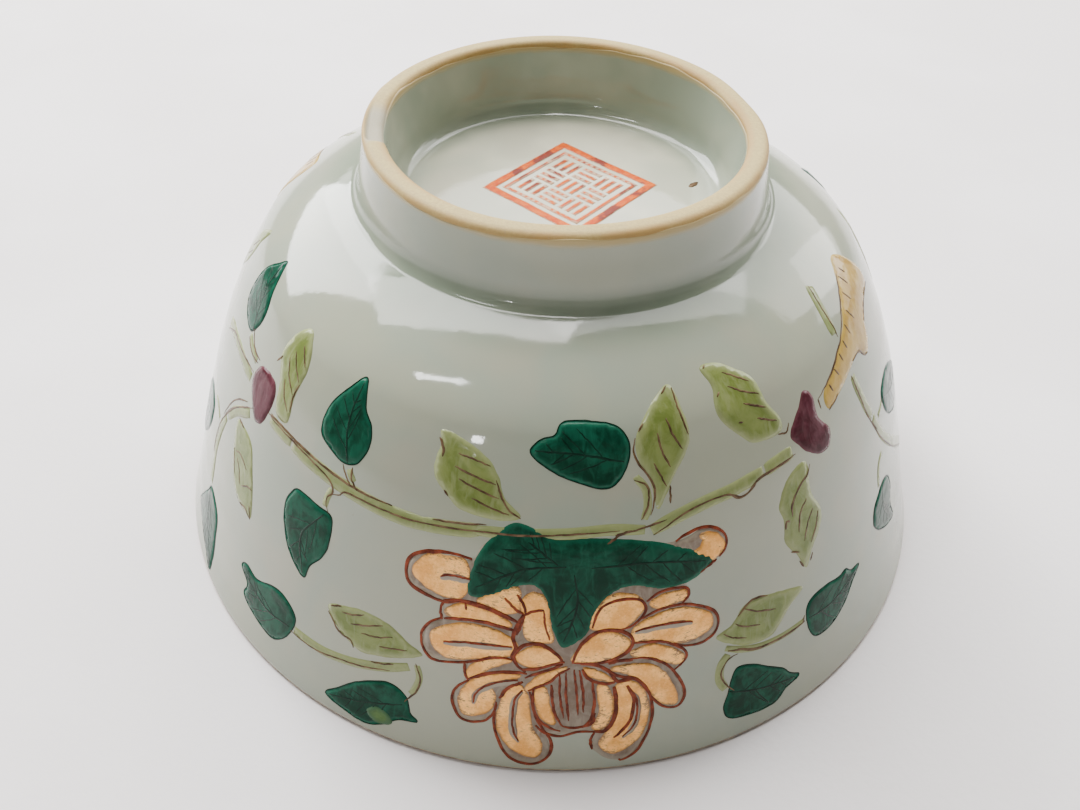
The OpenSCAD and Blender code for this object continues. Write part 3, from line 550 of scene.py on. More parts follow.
buds = [
    (LEFT_BUD, [([(0.2, -2.6), (0.7, -0.8), (2.2, 0.2), (5, 0), (6, -1.8), (5.5, -4.2), (4.8, -6),
        (3.4, -6.6), (2, -5.4), (0.8, -4)], [])]),
    (RIGHT_BUD, [([(-2.4, 5.6), (-1.2, 7.2), (0, 8.2), (1.3, 9.6), (2.7, 8.6), (2.9, 5.6), (4.4, 3.4),
        (3.8, 1.5), (2, 1.3), (-0.2, 2.6), (-1.4, 4)], [])]),
]
branch = [
    (-8.6, -1.3), (-5, 0.6), (-1.2, 2.3), (2, 4.2), (6, 6.5), (9.6, 7.8), (12, 5.6), (13, 1.1), (9, 0.9),
    (6, -0.2), (4.6, -2.6), (3, -3.4), (0.6, -1.7), (-2, -1.9), (-5, -2.8), (-8.4, -3.6),
]
branch_ticks = [
    [(-7.4, -1), (-7, -2.1)], [(-5.6, 0), (-5, -1.1)], [(-3.6, 0.9), (-3.3, -0.2)], [(-1.8, 1.6),
    (-1.5, 0.4)], [(0.1, 2.7), (0.5, 1.2)], [(2.2, 3.5), (3, 1.8)], [(4.3, 5), (4.9, 3.4)], [(6.5, 6.2),
    (6.9, 4.6)], [(8.2, 6.5), (8.5, 5.4)],
]
# Vines: (path, width in millimetres)
vines = [
    (LEFT_BUD, [
        ([(-13, -3.9), (-10, -3), (-6, -2.6), (-3, -2.8), (-0.2, -3)], 1.6),
        ([(-4.2, 0.7), (-2.8, 0), (-1.6, -0.3), (-0.2, -0.6)], 1),
        ([(6.3, -4.2), (8.4, -4.4), (10.8, -4.5)], 1.6),
        ([(2, -6.6), (-1.2, -8.8), (-3.3, -11.3)], 1.4),
    ]),
    (LEFT_LEAVES, [
        ([(-7.7, 3.4), (-3, 3), (2, 2.6), (8, 2.2), (12.8, 2.2)], 1.9),
        ([(1.6, 5), (2, 4.4), (2.6, 3.8)], 0.9),
        ([(-0.2, 1.6), (-0.6, 0.4), (-0.8, -1)], 0.9),
    ]),
    (TOP, [([(-7.2, -7.8), (-3, -7.3), (-1.2, -7)], 1.8)]),
    (TOP_RIGHT, [
        ([(-5, -8.8), (-2, -7.6), (1, -6.8), (4, -6.4), (8, -5.7)], 1.7),
        ([(-6.4, -2.4), (-5.4, -4), (-5.3, -6), (-5.7, -7.4)], 0.9),
    ]),
    (RIGHT_BUD, [([(-7, 3.3), (-5, 3.6), (-2.6, 3.8)], 1.7)]),
    (BRANCH, [
        ([(-2.7, 3), (-2.4, 4.4), (-1.8, 6), (-1, 7.6), (0, 9)], 1.6),
        ([(-2.3, -3), (-2, -5), (-1.2, -8), (-0.1, -10.5)], 1.4),
    ]),
    (FAR_RIGHT, [
        ([(-1.6, 11.2), (0, 8), (2.4, 5), (6, 1.6), (10, -1.8), (13.6, -4.8)], 1.6),
        ([(-2.6, 1), (-2.5, 2.8), (-1.9, 4.2), (-0.4, 5)], 1),
        ([(0.1, 10.2), (1.6, 10.4), (2.7, 10.9)], 0.8),
    ]),
    (FAR_LEFT, [
        ([(0.9, 9.2), (-0.4, 6), (-1, 2), (-0.8, -3.4)], 1.5),
        ([(-1.8, 6.8), (-4, 7.6), (-5.8, 7.4)], 1),
    ]),
    (LOW_LEFT, [
        ([(-1.4, -0.9), (1, -1.1), (4, -1), (8, -0.2), (12, 1.1), (15.4, 2.6)], 1.4),
        ([(16.4, 3.2), (16.8, 1.4), (16.3, -0.6), (15.8, -1.4)], 0.9),
    ]),
    (LOW_RIGHT, [
        ([(-9.3, 2.9), (-7, 1.8), (-4, 1), (0, 0.8), (2.7, 1.1)], 1),
        ([(-9, 1.9), (-10, 0.4), (-10.1, -1.6), (-9.3, -3.4)], 1.2),
    ]),
    (TOP, [([(-2, -7.1), (3, -6.8), (8, -6.5), (12, -6.2), (15.6, -6.6)], 1.4)]),
]
# Brown lines along the vines, the leaves' edges and the branch: (path, width in FINE_BRUSH)
sepia_lines = [
    (LEFT_BUD, [
        ([(-3.8, 1.7), (-3, 1), (-1.5, 0.2), (0.5, 0)], 3),
        ([(-4.2, 0.3), (-3, -0.3), (-1.5, -0.6), (0.3, -0.5)], 3),
        ([(-12.5, -4.8), (-10.5, -3.5), (-8.5, -2.6), (-5, -2.3), (-2, -2.1), (0, -2)], 3),
        ([(9.3, 2.2), (9, 0.6), (9.2, -1.4)], 3),
        ([(3.8, 2.2), (4.6, 3.4)], 3),
        ([(5.6, -3.9), (8, -3.7), (10, -3.8), (13, -4.1)], 3),
        ([(0.8, -5.8), (-1.5, -7.2), (-3.4, -9.4), (-4.8, -12.4)], 3),
        ([(2.2, -5.7), (0, -7.2), (-2, -9), (-3.6, -11.2), (-4.4, -12.6)], 3),
    ]),
    (FAR_LEFT, [
        ([(5, 12), (7, 11.8)], 3),
        ([(9.6, 2), (11.2, 2.4), (12.6, 1.6)], 3),
        ([(12, 3.4), (12.6, 1.8)], 3),
        ([(4, 13), (1.6, 11), (0, 8.8), (-1.4, 6.2), (-1.9, 3.6), (-1.8, 1.2)], 3),
    ]),
    (LEFT_LEAVES, [
        ([(2, 5.4), (2.2, 4), (3.2, 3)], 3),
        ([(0.6, 5.2), (1.2, 4.2), (2.2, 3.2)], 3),
        ([(-13, 4.4), (-9, 4.2), (-5, 3.9), (0, 3.4), (4, 3.1), (8, 3.1)], 4),
        ([(-13, 4), (-8, 3.8), (-4, 3.3), (-1.6, 2.8), (-0.4, 2.2), (0, 1.2), (-0.6, 0.4), (-0.6, -0.6),
         (-0.1, -1.6)], 3),
        ([(0, 1), (1, 1.4), (2, 2.2), (6, 2.2), (10, 2.2), (13, 2.4)], 3),
    ]),
    (LOW_LEFT, [
        ([(-2, -1.5), (0, -1.7), (3, -1.5), (6, -0.8), (9, -0.2), (13, 1)], 3),
        ([(3.7, 5.4), (4.6, 4.4), (5.2, 3.6), (6.2, 3.1), (7.4, 3), (7.8, 2)], 4),
        ([(4, 6.4), (5.6, 7.2)], 3),
        ([(10.4, 1.2), (12, 1.6), (13.4, 2.2)], 3),
        ([(16.2, 3.4), (16.9, 1.5), (16.6, -0.6), (15.2, -2.8)], 3),
    ]),
    (TOP, [
        ([(0.2, -1), (0.8, -2.6), (1.8, -4.2), (3, -5)], 3),
        ([(-6.6, 2.4), (-6, 1.4), (-5.9, 0.4)], 4),
        ([(-5.2, -3.2), (-4.7, -3.8)], 3),
        ([(-9, -7.8), (-4, -7.4), (-0.6, -7.1), (5.4, -6.8), (9, -6.5), (13, -6.4)], 3),
        ([(-6, -6.9), (-3, -6.6), (-0.4, -6.2)], 3),
    ]),
    (TOP_RIGHT, [
        ([(-5.2, 3.2), (-5.8, 2.4)], 3),
        ([(-6.2, 1.8), (-6.5, 0.4), (-6, -1), (-5, -2.6), (-4.5, -4), (-4.6, -5.6), (-5, -7)], 3),
        ([(-2.4, 6), (-1.6, 6.8)], 3),
        ([(-1, 6.5), (-0.8, 4), (-0.2, 1.2)], 3),
        ([(-2.8, -4), (-2.9, -6)], 3),
        ([(-6.6, -2.8), (-5.4, -3.4), (-5.1, -4.6), (-5.4, -6.2), (-6, -7.4)], 3),
        ([(-4.8, -9.4), (-3.4, -8.6), (-2, -7.7), (0, -7), (2, -6.7), (3.6, -6.8), (4.4, -7.5), (5.4, -7.6),
         (6.6, -7), (7.2, -6.3), (9, -6), (12.6, -5.7)], 3),
        ([(-8, -8.8), (-6, -8.4), (-3.4, -7.8)], 3),
        ([(-8.6, -9), (-7, -8.5)], 5),
        ([(-9.4, -9.8), (-8, -8.8)], 3),
        ([(3.8, 7.6), (4.2, 8)], 3),
        ([(4.2, 4.2), (4.7, 4.7)], 3),
        ([(6, 0.8), (6.6, 0.7)], 3),
        ([(10.8, -2.4), (12, -2.7), (12.6, -1.8)], 3),
    ]),
    (RIGHT_BUD, [
        ([(-0.2, 1), (-0.8, 0), (-2, -0.6), (-3.2, -1.6), (-4, -2.8), (-4, -4)], 3),
        ([(-5.1, -5.2), (-4.9, -4.2), (-4.4, -4.5)], 4),
        ([(-4.6, -8.6), (-3.4, -9.3)], 3),
        ([(-3.4, -10.6), (-2.8, -11.8)], 3),
        ([(-1.7, -11.6), (-1.3, -10.6)], 3),
        ([(-13, 2.4), (-11.6, 2), (-10.8, 1.4), (-9.6, 1.6), (-8.6, 2.4), (-7, 2.8), (-4.6, 3),
         (-2.4, 3.3)], 3),
    ]),
    (BRANCH, [
        ([(-9.8, -1.5), (-8, -0.8), (-5.5, 0.3), (-3.6, 1.3), (-2.2, 1.9), (0, 3.2), (2.4, 4.6), (4.8, 5.8),
         (6.6, 6.6)], 3),
        ([(-9.9, -1.5), (-9.8, -2.8)], 3),
        ([(-8.5, -3.7), (-7, -3.3), (-6.2, -2.9)], 3),
        ([(-1.2, -1.6), (0.8, -1.6), (1.6, -2.4), (2.4, -3.2), (3.2, -3.4)], 3),
        ([(5.4, -0.2), (7, 0.6), (9, 0.9), (12.4, 0.9)], 3),
        ([(-2.3, 2.4), (-1.9, 5), (-1.2, 7.2), (-0.1, 9.1)], 3),
        ([(-2.6, -2.8), (-2.2, -5), (-1.6, -8), (-0.8, -10.4), (0.6, -13)], 3),
    ]),
    (FAR_RIGHT, [([(-3, 12.4), (-2, 10.2), (-0.4, 7.6), (1.4, 5.4), (3.6, 3), (6, 0.8), (9, -1.6),
        (13, -5)], 3)]),
    (LOW_RIGHT, [
        ([(-9, 2.4), (-7.2, 1.9), (-5.6, 1.2), (-3.6, 0.8), (0, 0.7), (2.8, 0.9)], 5),
        ([(2.4, 0.9), (2.8, 1.8)], 3),
        ([(-7.6, 7), (-6, 8.3), (-4.6, 8.5), (-3.2, 8.1)], 3),
        ([(-7.6, 1.4), (-8.8, 1.2), (-9.8, 0), (-9.9, -1.2), (-9.2, -2.8), (-8.2, -4)], 3),
    ]),
]
light_on_leaf = [
    (10.4, -6.4), (11.6, -5.3), (13.4, -5.8), (13.8, -7), (12.4, -7.7), (11, -7.2),
]
# The flower, all drawn from FLOWER
calyx = [
    (-12.4, 8.9), (-12.2, 12.4), (-10.4, 16), (-7.6, 18.4), (-4.6, 17.9), (-2.4, 16.9), (3, 16.9), (9, 16),
    (14, 14.2), (17.2, 12.2), (14.2, 10), (10.5, 9.7), (6.5, 10.6), (3.2, 8.8), (1.6, 4.6), (-1.2, 2.8),
    (-2.4, 5.4), (-3.8, 10.2), (-6, 10.9), (-9.6, 9.1),
]
calyx_ribs = [
    [(-1, 13.6), (-6, 13), (-11.6, 10)], [(2, 13.4), (9, 13.4), (16.2, 12.1)], [(0, 12.6), (0.4, 8.6),
    (-1, 3.8)], [(-2, 13.8), (-5.6, 16.4)],
]
petal_ground = [
    (-12.4, 13.3), (-18, 13), (-20, 11), (-19.8, 8.6), (-17.4, 7.6), (-15.4, 7), (-15.4, 5.2), (-17, 3.6),
    (-17.4, 1), (-16.4, -0.8), (-13.6, -0.8), (-12.2, -0.6), (-12, -2.8), (-13.2, -5.4), (-12.8, -8.4),
    (-11, -9.1), (-9, -8.2), (-8.4, -7), (-8.4, -10), (-7, -13.2), (-5, -14.4), (-3, -14.1), (-2, -12.4),
    (-2.4, -10.2), (-1, -10), (1.4, -9.6), (2.8, -10), (2.5, -12), (4.4, -14), (6.6, -14.2), (8.4, -12),
    (9.3, -9), (9.2, -5.6), (9.8, -6.2), (11.6, -7.5), (13.2, -6.4), (13, -4.2), (12, -2), (13.4, -0.6),
    (13, 0.8), (15.4, 1.1), (17.4, 2.4), (17.2, 4.6), (14.4, 6.8), (13.6, 9.4), (14, 12), (17.8, 12),
    (19, 13.4), (18.4, 15.4), (16, 16.2), (12, 15.4), (0, 16), (-10, 16),
]
gold_petals = [
    [(-12.9, 8.6), (-16, 8.2), (-19.2, 10), (-18, 12.4), (-15.6, 13), (-12.8, 12.8)],
    [(-14.8, 5.7), (-13.6, 7.2), (-11.6, 7.5), (-8.6, 6.8), (-7.1, 5.5), (-10.4, 5.6)],
    [(-6.6, 3.4), (-9.4, 4.8), (-13, 4.8), (-16, 3), (-16, 0.9), (-14, -0.3), (-9.6, 0.8), (-6.8, 1.6)],
    [(-12, -2.2), (-10.8, -0.2), (-8.4, 0.8), (-6.8, 0.7), (-9.4, -0.8), (-11.2, -2.5)],
    [(-5.8, -1.3), (-8.4, -1.4), (-11.3, -3), (-12.5, -5.8), (-11.8, -8.1), (-9.4, -7.4), (-8.5, -5),
     (-8.8, -3)],
    [(-6, -2.6), (-7.6, -5), (-8, -9), (-6.6, -12.2), (-3.8, -13.4), (-3.1, -11.6), (-4.4, -8.4),
     (-4.8, -4.6)],
    [(-5, -3), (-3.6, -1.2), (-0.5, 0.2), (-2.2, -1.4), (-4.4, -3.2)],
    [(-3.9, -3.2), (-2.8, -3), (-2.4, -5.6), (-1.7, -8.2), (-3, -7.6), (-3.8, -5.4)],
    [(-6.3, 0.9), (-5.2, 2.6), (-3.4, 3), (-1.9, 2), (-1.2, 0.9), (-4, 0.1)],
    [(0.1, 1.3), (2.2, 4.3), (4.2, 4.9), (6.6, 3.2), (5, 1.3), (2, 0.7)],
    [(2, 5.8), (2.7, 8), (4.6, 9.8), (7.2, 9.4), (8.2, 7.7), (6, 5.4), (3.6, 5.2)],
    [(9, 8), (10.4, 8.9), (13.4, 8.9), (13.2, 7.9), (10.4, 7.4)],
    [(7.2, 5), (9.4, 6.3), (13, 6.6), (16.2, 5), (16.6, 3), (13.6, 1.9), (9.6, 3), (7, 3.3)],
    [(7, 1.9), (9.4, 2.4), (12, 1), (13.1, -0.5), (12.2, -1.1), (9.6, 0.3), (7.2, 1.1)],
    [(4.5, -0.3), (7.6, -0.1), (10.2, -1.4), (12, -4.8), (12.2, -7), (10.2, -6.2), (8.4, -3.2),
     (6.6, -1.4)],
    [(1.4, 0), (3.4, -0.8), (4.7, -2.2), (2.4, -1.3)],
    [(3.1, -2.8), (4.2, -3.2), (4.8, -6), (4, -8.9), (2.7, -9), (3.4, -6.6)],
    [(5.2, -3), (7.4, -2.8), (8.9, -6.6), (8, -11), (5.2, -13.1), (3.5, -11.6), (5, -8)],
    [(15.6, 15.4), (17.4, 15.2), (18.7, 13.8), (18.2, 13)],
]
# Petals that are mostly hidden or rubbed
worn_petals = [
    [(-5.5, 6.4), (-6, 8.8), (-4.6, 10.2), (-3.1, 9), (-2.7, 6), (-2.3, 3.9), (-4, 3.8), (-5.2, 4),
     (-5.6, 5.2)],
    [(-11.2, 8.3), (-9, 9.8), (-6.6, 10.6), (-6.3, 8), (-7.5, 7.2), (-9.6, 7.9)],
    [(14.4, 13.2), (15.4, 13.9), (16.2, 14.9), (17.2, 14.6), (18.4, 13), (17.6, 12.3), (16, 12)],
]
# The petals' outlines, round the flower: (path, width in PETAL_BRUSH)
petal_outlines = [
    ([(-12.2, 13.4), (-15, 13.6), (-18, 13), (-19.8, 11.8), (-20.2, 10), (-19.6, 8.4), (-17.6, 7.6),
     (-15.2, 7.2), (-13.6, 7.7), (-12, 8)], 5),
    ([(-15.2, 4.8), (-15.5, 6), (-15.2, 7.3)], 4),
    ([(-15.2, 7.4), (-13.5, 7.8), (-11.5, 7.8), (-9.5, 7.4), (-7.5, 6.6), (-6, 6)], 6),
    ([(-12.6, 7.8), (-12.4, 6.8)], 3),
    ([(-15, 5), (-13, 5.4), (-10.5, 5.6), (-8.5, 5.3), (-6.4, 4.9)], 5),
    ([(-15.2, 5), (-16.6, 4), (-17.5, 2.4), (-17.4, 0.6), (-16.8, -0.6), (-15.8, -1.2), (-13.5, -0.9),
     (-11.5, -0.3), (-9.6, 0.6), (-8, 1), (-6.6, 0.8)], 4),
    ([(-5.8, 7.2), (-6.4, 5.6), (-6.8, 4), (-6.4, 2.6), (-6.8, 1.4), (-6.2, 0.2), (-5.2, -0.8)], 5),
    ([(-12.2, -0.4), (-12.1, -1.8), (-11.7, -3)], 4),
    ([(-11.6, -2.8), (-10, -1.8), (-8, -1.1), (-6, -0.9), (-5, -1)], 5),
    ([(-11.6, -3), (-12.8, -4.2), (-13.4, -6), (-13, -7.8), (-12.2, -9), (-10.8, -9.2), (-9.4, -8.6),
     (-8.6, -7.4), (-8.2, -6)], 4),
    ([(-8.3, -5.6), (-8.5, -8.5), (-8, -11), (-6.9, -13.4), (-5.2, -14.5), (-3.4, -14.4), (-2.1, -13),
     (-2, -11), (-3, -9), (-3.8, -7.4), (-4.2, -5.4), (-4.6, -3.6)], 4),
    ([(-5.4, -2.2), (-7, -3.2), (-8, -5)], 5),
    ([(-1, 0.6), (-2.4, -0.2), (-4.2, -1), (-5.2, -1.6)], 4),
    ([(-0.2, 0), (-1.6, -1), (-2.4, -2), (-3.8, -2.8), (-4.8, -3.4)], 4),
    ([(-4.2, -3.2), (-4.2, -5.6), (-3.4, -7.8), (-2, -9), (-1, -9.4)], 4),
    ([(-2.2, -2.4), (-2, -5), (-1.6, -7), (-0.8, -8.6)], 4),
    ([(-6.2, 0.4), (-6.6, 1.6), (-5.6, 3), (-4, 3.4), (-2.6, 2.8), (-1.4, 1.6), (-1, 0.8)], 5),
    ([(-5.6, -0.4), (-4, -0.2), (-2, 0.6), (-0.8, 0.9)], 5),
    ([(-8, 9.2), (-6.6, 7.8), (-5.6, 7.2)], 4),
    ([(-6.6, 9.8), (-5.8, 8.6), (-5.4, 7.2)], 4),
    ([(-5.6, 7.2), (-4.6, 7.8), (-3.4, 8)], 4),
    ([(-5.6, 7.2), (-6, 5.6), (-6.4, 4.4)], 4),
    ([(-3.4, 8), (-3.2, 6), (-2.6, 4)], 3),
    ([(0.1, 0.9), (0.8, 3), (2, 4.4), (3.6, 5.2), (5.4, 4.9), (6.6, 4.2), (7, 3), (6.2, 1.8), (4.8, 1),
     (3, 0.6), (1, 0.7), (0, 0.8)], 5),
    ([(2.2, 5.6), (3, 8), (4.4, 8.9), (6.2, 9.1), (7.8, 8.8), (8.5, 7.6), (8, 6.4), (6.8, 5.4), (5.6, 5)],
     4),
    ([(8.6, 8.4), (10, 9.3), (12, 9.5), (13.5, 9.2), (13.8, 8.2), (12.8, 7.2)], 4),
    ([(8, 6.2), (10, 7), (12.6, 7.2), (15, 6.4), (17, 5), (17.6, 3.4), (17, 1.8), (15.4, 1), (13.4, 1.2),
     (11.8, 2)], 4),
    ([(6.9, 3), (8.4, 2.9), (10.4, 2.6), (12, 1.7), (13.2, 0.6), (13.5, -0.4), (12.8, -1.4), (12, -2)], 4),
    ([(6.6, 0.8), (8.6, 0.6), (10.4, -0.4), (11.6, -1.6), (12.4, -3), (13.2, -5), (13.2, -6.6),
     (12.4, -7.6), (11, -7.4), (9.8, -6.2), (9, -4.8), (8.4, -3.6)], 4),
    ([(4.2, 0.4), (5.4, 0.7), (7, 0.6)], 5),
    ([(4, -0.6), (5.6, -1.6), (7, -2), (8, -2.8), (8.6, -4)], 5),
    ([(1, 0.6), (2.8, 0.3), (4.2, -0.6), (5.2, -2.2), (6, -2.2), (7.4, -2.1)], 5),
    ([(1.2, -0.2), (2, -1.6), (3.6, -2.4), (5, -2.4)], 5),
    ([(2.4, -2), (2.7, -5), (2.4, -7.6), (1.4, -8.9)], 4),
    ([(4.9, -3), (5.2, -5.4), (5, -7.8), (4, -9.6), (2.8, -9.6)], 6),
    ([(6.4, -3), (7.2, -5), (7.1, -7.2), (6.6, -8.8), (5.6, -10.2), (5, -10.8)], 5),
    ([(7.4, -2.2), (8.6, -3.6), (9.3, -6), (9.4, -8.5), (8.8, -11), (7.6, -13.4), (6, -14.4), (5.6, -14.2)],
     4),
    ([(2.8, -9.8), (2.4, -11), (2.6, -12.4)], 4),
    ([(12.3, 15.4), (14, 16), (16, 16.3), (18, 15.6), (19, 14.4), (18.9, 13), (18, 12)], 4),
    ([(17.6, 11.8), (15, 10.6)], 4),
    ([(-3.8, -8.6), (-2.6, -9.8), (-1, -10.2), (1, -9.6), (3.6, -9.7)], 4),
    ([(-0.8, -8.6), (0.4, -8.9), (2.4, -8.4), (2.8, -6.8)], 4),
]
# Brown slots left or drawn down the middle of a petal
petal_slots = [
    [(-15.8, 10.2), (-15, 10.6), (-13.5, 10.7), (-12.2, 10.6)],
    [(-14.8, 1.6), (-12, 2.2), (-9, 2.4), (-6.8, 2.5)],
    [(-10.9, -6.4), (-10.7, -5), (-10, -4), (-9, -3.2), (-7.6, -2.6), (-6, -2.2)],
    [(-5.4, -3.6), (-6.2, -5), (-6.4, -7.5), (-6.2, -10), (-5.6, -11.4)],
    [(7.2, 4.4), (10, 4.7), (13, 4.5), (14.2, 4.2)],
    [(6.8, -3.8), (7.5, -5.5), (7.6, -8), (7, -9.8), (6, -11)],
]
# Stripes down the middle of the flower
stripes = [
    [(-1.3, -0.8), (-1.2, -4), (-0.7, -7.4)], [(-0.6, -0.6), (-0.5, -4), (-0.1, -7.8)], [(0.3, -0.2),
    (0.7, -4), (0.9, -7)], [(0.9, -0.3), (1.4, -3.6), (1.5, -6.6)],
]


# ---- Materials ----

class Nodes:
    """Short ways to build a procedural material."""

    def __init__(self, name):
        self.material = bpy.data.materials.new(name)
        self.material.use_nodes = True
        self.tree = self.material.node_tree
        self.shader = next(n for n in self.tree.nodes if n.type == "BSDF_PRINCIPLED")

    def new(self, kind, **settings):
        node = self.tree.nodes.new(kind)
        for key, value in settings.items():
            setattr(node, key, value)
        return node

    def feed(self, socket, value):
        if isinstance(value, bpy.types.NodeSocket):
            self.tree.links.new(value, socket)
        elif isinstance(value, tuple) and len(value) == 3 and socket.type == "RGBA":
            socket.default_value = (*value, 1)
        else:
            socket.default_value = value

    def math(self, operation, a, b=0.0, c=0.0):
        node = self.new("ShaderNodeMath", operation=operation)
        for socket, value in zip(node.inputs, (a, b, c)):
            self.feed(socket, value)
        return node.outputs[0]

    def vector(self, operation, a, b=(0, 0, 0)):
        node = self.new("ShaderNodeVectorMath", operation=operation)
        self.feed(node.inputs[0], a)
        if operation == "SCALE":
            self.feed(node.inputs["Scale"], b)
        else:
            self.feed(node.inputs[1], b)
        return node.outputs[0]

    def ramp(self, value, low, high, start=0.0, end=1.0):
        """From start to end as a value goes from low to high, in a smooth step."""
        node = self.new("ShaderNodeMapRange", interpolation_type="SMOOTHSTEP", clamp=True)
        for socket, v in zip(node.inputs, (value, low, high, start, end)):
            self.feed(socket, v)
        return node.outputs[0]

    def mix(self, factor, a, b, blend="MIX"):
        node = self.new("ShaderNodeMix", data_type="RGBA", blend_type=blend)
        self.feed(node.inputs["Factor"], factor)
        a_in, b_in = [s for s in node.inputs if s.type == "RGBA"]
        self.feed(a_in, a)
        self.feed(b_in, b)
        return next(s for s in node.outputs if s.type == "RGBA")

    def noise(self, vector, scale, detail=3.0, roughness=0.5, distortion=0.0):
        node = self.new("ShaderNodeTexNoise")
        self.feed(node.inputs["Vector"], vector)
        node.inputs["Scale"].default_value = scale
        node.inputs["Detail"].default_value = detail
        node.inputs["Roughness"].default_value = roughness
        node.inputs["Distortion"].default_value = distortion
        return node.outputs["Fac"] if "Fac" in node.outputs else node.outputs[0]

    def cells(self, vector, scale, feature="F1", output="Distance"):
        node = self.new("ShaderNodeTexVoronoi", feature=feature)
        self.feed(node.inputs["Vector"], vector)
        node.inputs["Scale"].default_value = scale
        return node.outputs[output]

    def place(self):
        """The point on the object, in millimetres."""
        return self.vector("SCALE", self.new("ShaderNodeTexCoord").outputs["Object"], 1 / MM)

    def split(self, vector):
        node = self.new("ShaderNodeSeparateXYZ")
        self.feed(node.inputs[0], vector)
        return node.outputs

    def from_axis(self, at):
        """How far a point is from the bowl's axis."""
        flat = self.vector("MULTIPLY", at, (1, 1, 0))
        return self.vector("LENGTH", flat).node.outputs["Value"]

    def drawn(self):
        """Where a painted point was drawn: along, up, and for a patch how far in from its edge."""
        return self.new("ShaderNodeAttribute", attribute_name="drawn").outputs["Vector"]

    def moved(self, vector):
        """A vector moved by its own stroke's tone, so that no two strokes have the same pattern."""
        tone = self.new("ShaderNodeAttribute", attribute_name="tone").outputs["Fac"]
        step = self.new("ShaderNodeCombineXYZ")
        for socket, scale in zip(step.inputs, (17.0, 31.0, 0.0)):
            self.feed(socket, self.math("MULTIPLY", tone, scale))
        return self.vector("ADD", vector, step.outputs[0])

    def uneven(self, value, noise, amount):
        return self.math("ADD", value, self.math("MULTIPLY", self.math("SUBTRACT", noise, 0.5), amount))

    def bump(self, *layers):
        """Bump from (height in mm, strength) layers, laid one over another."""
        normal = None
        for height, strength in layers:
            node = self.new("ShaderNodeBump")
            node.inputs["Strength"].default_value = strength
            node.inputs["Distance"].default_value = MM
            self.feed(node.inputs["Height"], height)
            if normal is not None:
                self.feed(node.inputs["Normal"], normal)
            normal = node.outputs[0]
        self.feed(self.shader.inputs["Normal"], normal)

    def finish(self, colour, roughness, metallic=0.0, ior=1.5, coat=0.0, coat_roughness=0.05):
        self.feed(self.shader.inputs["Base Color"], colour)
        self.feed(self.shader.inputs["Roughness"], roughness)
        self.feed(self.shader.inputs["Metallic"], metallic)
        self.shader.inputs["IOR"].default_value = ior
        self.shader.inputs["Coat Weight"].default_value = coat
        self.shader.inputs["Coat Roughness"].default_value = coat_roughness
        return self.material


def glaze_material(name, body, cool, warm, pool, where):
    """Clear glaze over porcelain: uneven grey-green, greener where it ran thick, with fine iron specks."""
    n = Nodes(name)
    at = n.place()
    cloud = n.noise(at, 0.045, 3, 0.55)
    small = n.noise(at, 0.35, 4, 0.6)
    colour = n.mix(n.ramp(cloud, 0.42, 0.6), body, cool)
    colour = n.mix(n.ramp(n.noise(at, 0.09, 2), 0.5, 0.72, end=0.6), colour, warm)
    colour = n.mix(n.ramp(small, 0.35, 0.75, end=0.16), colour, cool)
    size = n.ramp(n.noise(at, 0.42, 0), 0.5, 0.75, end=0.05)
    speck = n.ramp(n.cells(at, 0.42), size, 0.0)
    colour = n.mix(n.math("MULTIPLY", speck, 0.55), colour, (0.16, 0.12, 0.08))
    z = n.split(at)[2]
    if where == "outside":
        thick = n.math("MULTIPLY", n.ramp(z, JUNCTION[1] - 2.2, JUNCTION[1] + 0.3),
                       n.ramp(z, JUNCTION[1] + 3.2, JUNCTION[1] + 0.8))
    elif where == "well":
        thick = n.ramp(n.from_axis(at), TIP_IN_R - 5.5, TIP_IN_R - 1.6)
    else:
        thick = n.ramp(z, FLOOR_Z - 9, FLOOR_Z - 3)
    thick = n.math("MULTIPLY", thick, n.ramp(n.noise(at, 0.12, 2), 0.2, 0.7, 0.55, 1.0))
    colour = n.mix(thick, colour, pool)
    n.bump((n.noise(at, 0.06, 1), 0.22), (n.noise(at, 0.8, 2, 0.5), 0.012), (small, 0.008), (speck, 0.03))
    rough = n.ramp(n.noise(at, 0.2, 3), 0.3, 0.8, 0.055, 0.11)
    wiped = n.ramp(n.math("ADD", z, n.math("MULTIPLY", small, 0.6)), BOWL_H - 1.5, BOWL_H - 0.6)
    colour = n.mix(wiped, colour, (0.42, 0.32, 0.14))
    rough = n.math("ADD", rough, n.math("MULTIPLY", wiped, 0.45))
    return n.finish(colour, rough, ior=1.45)


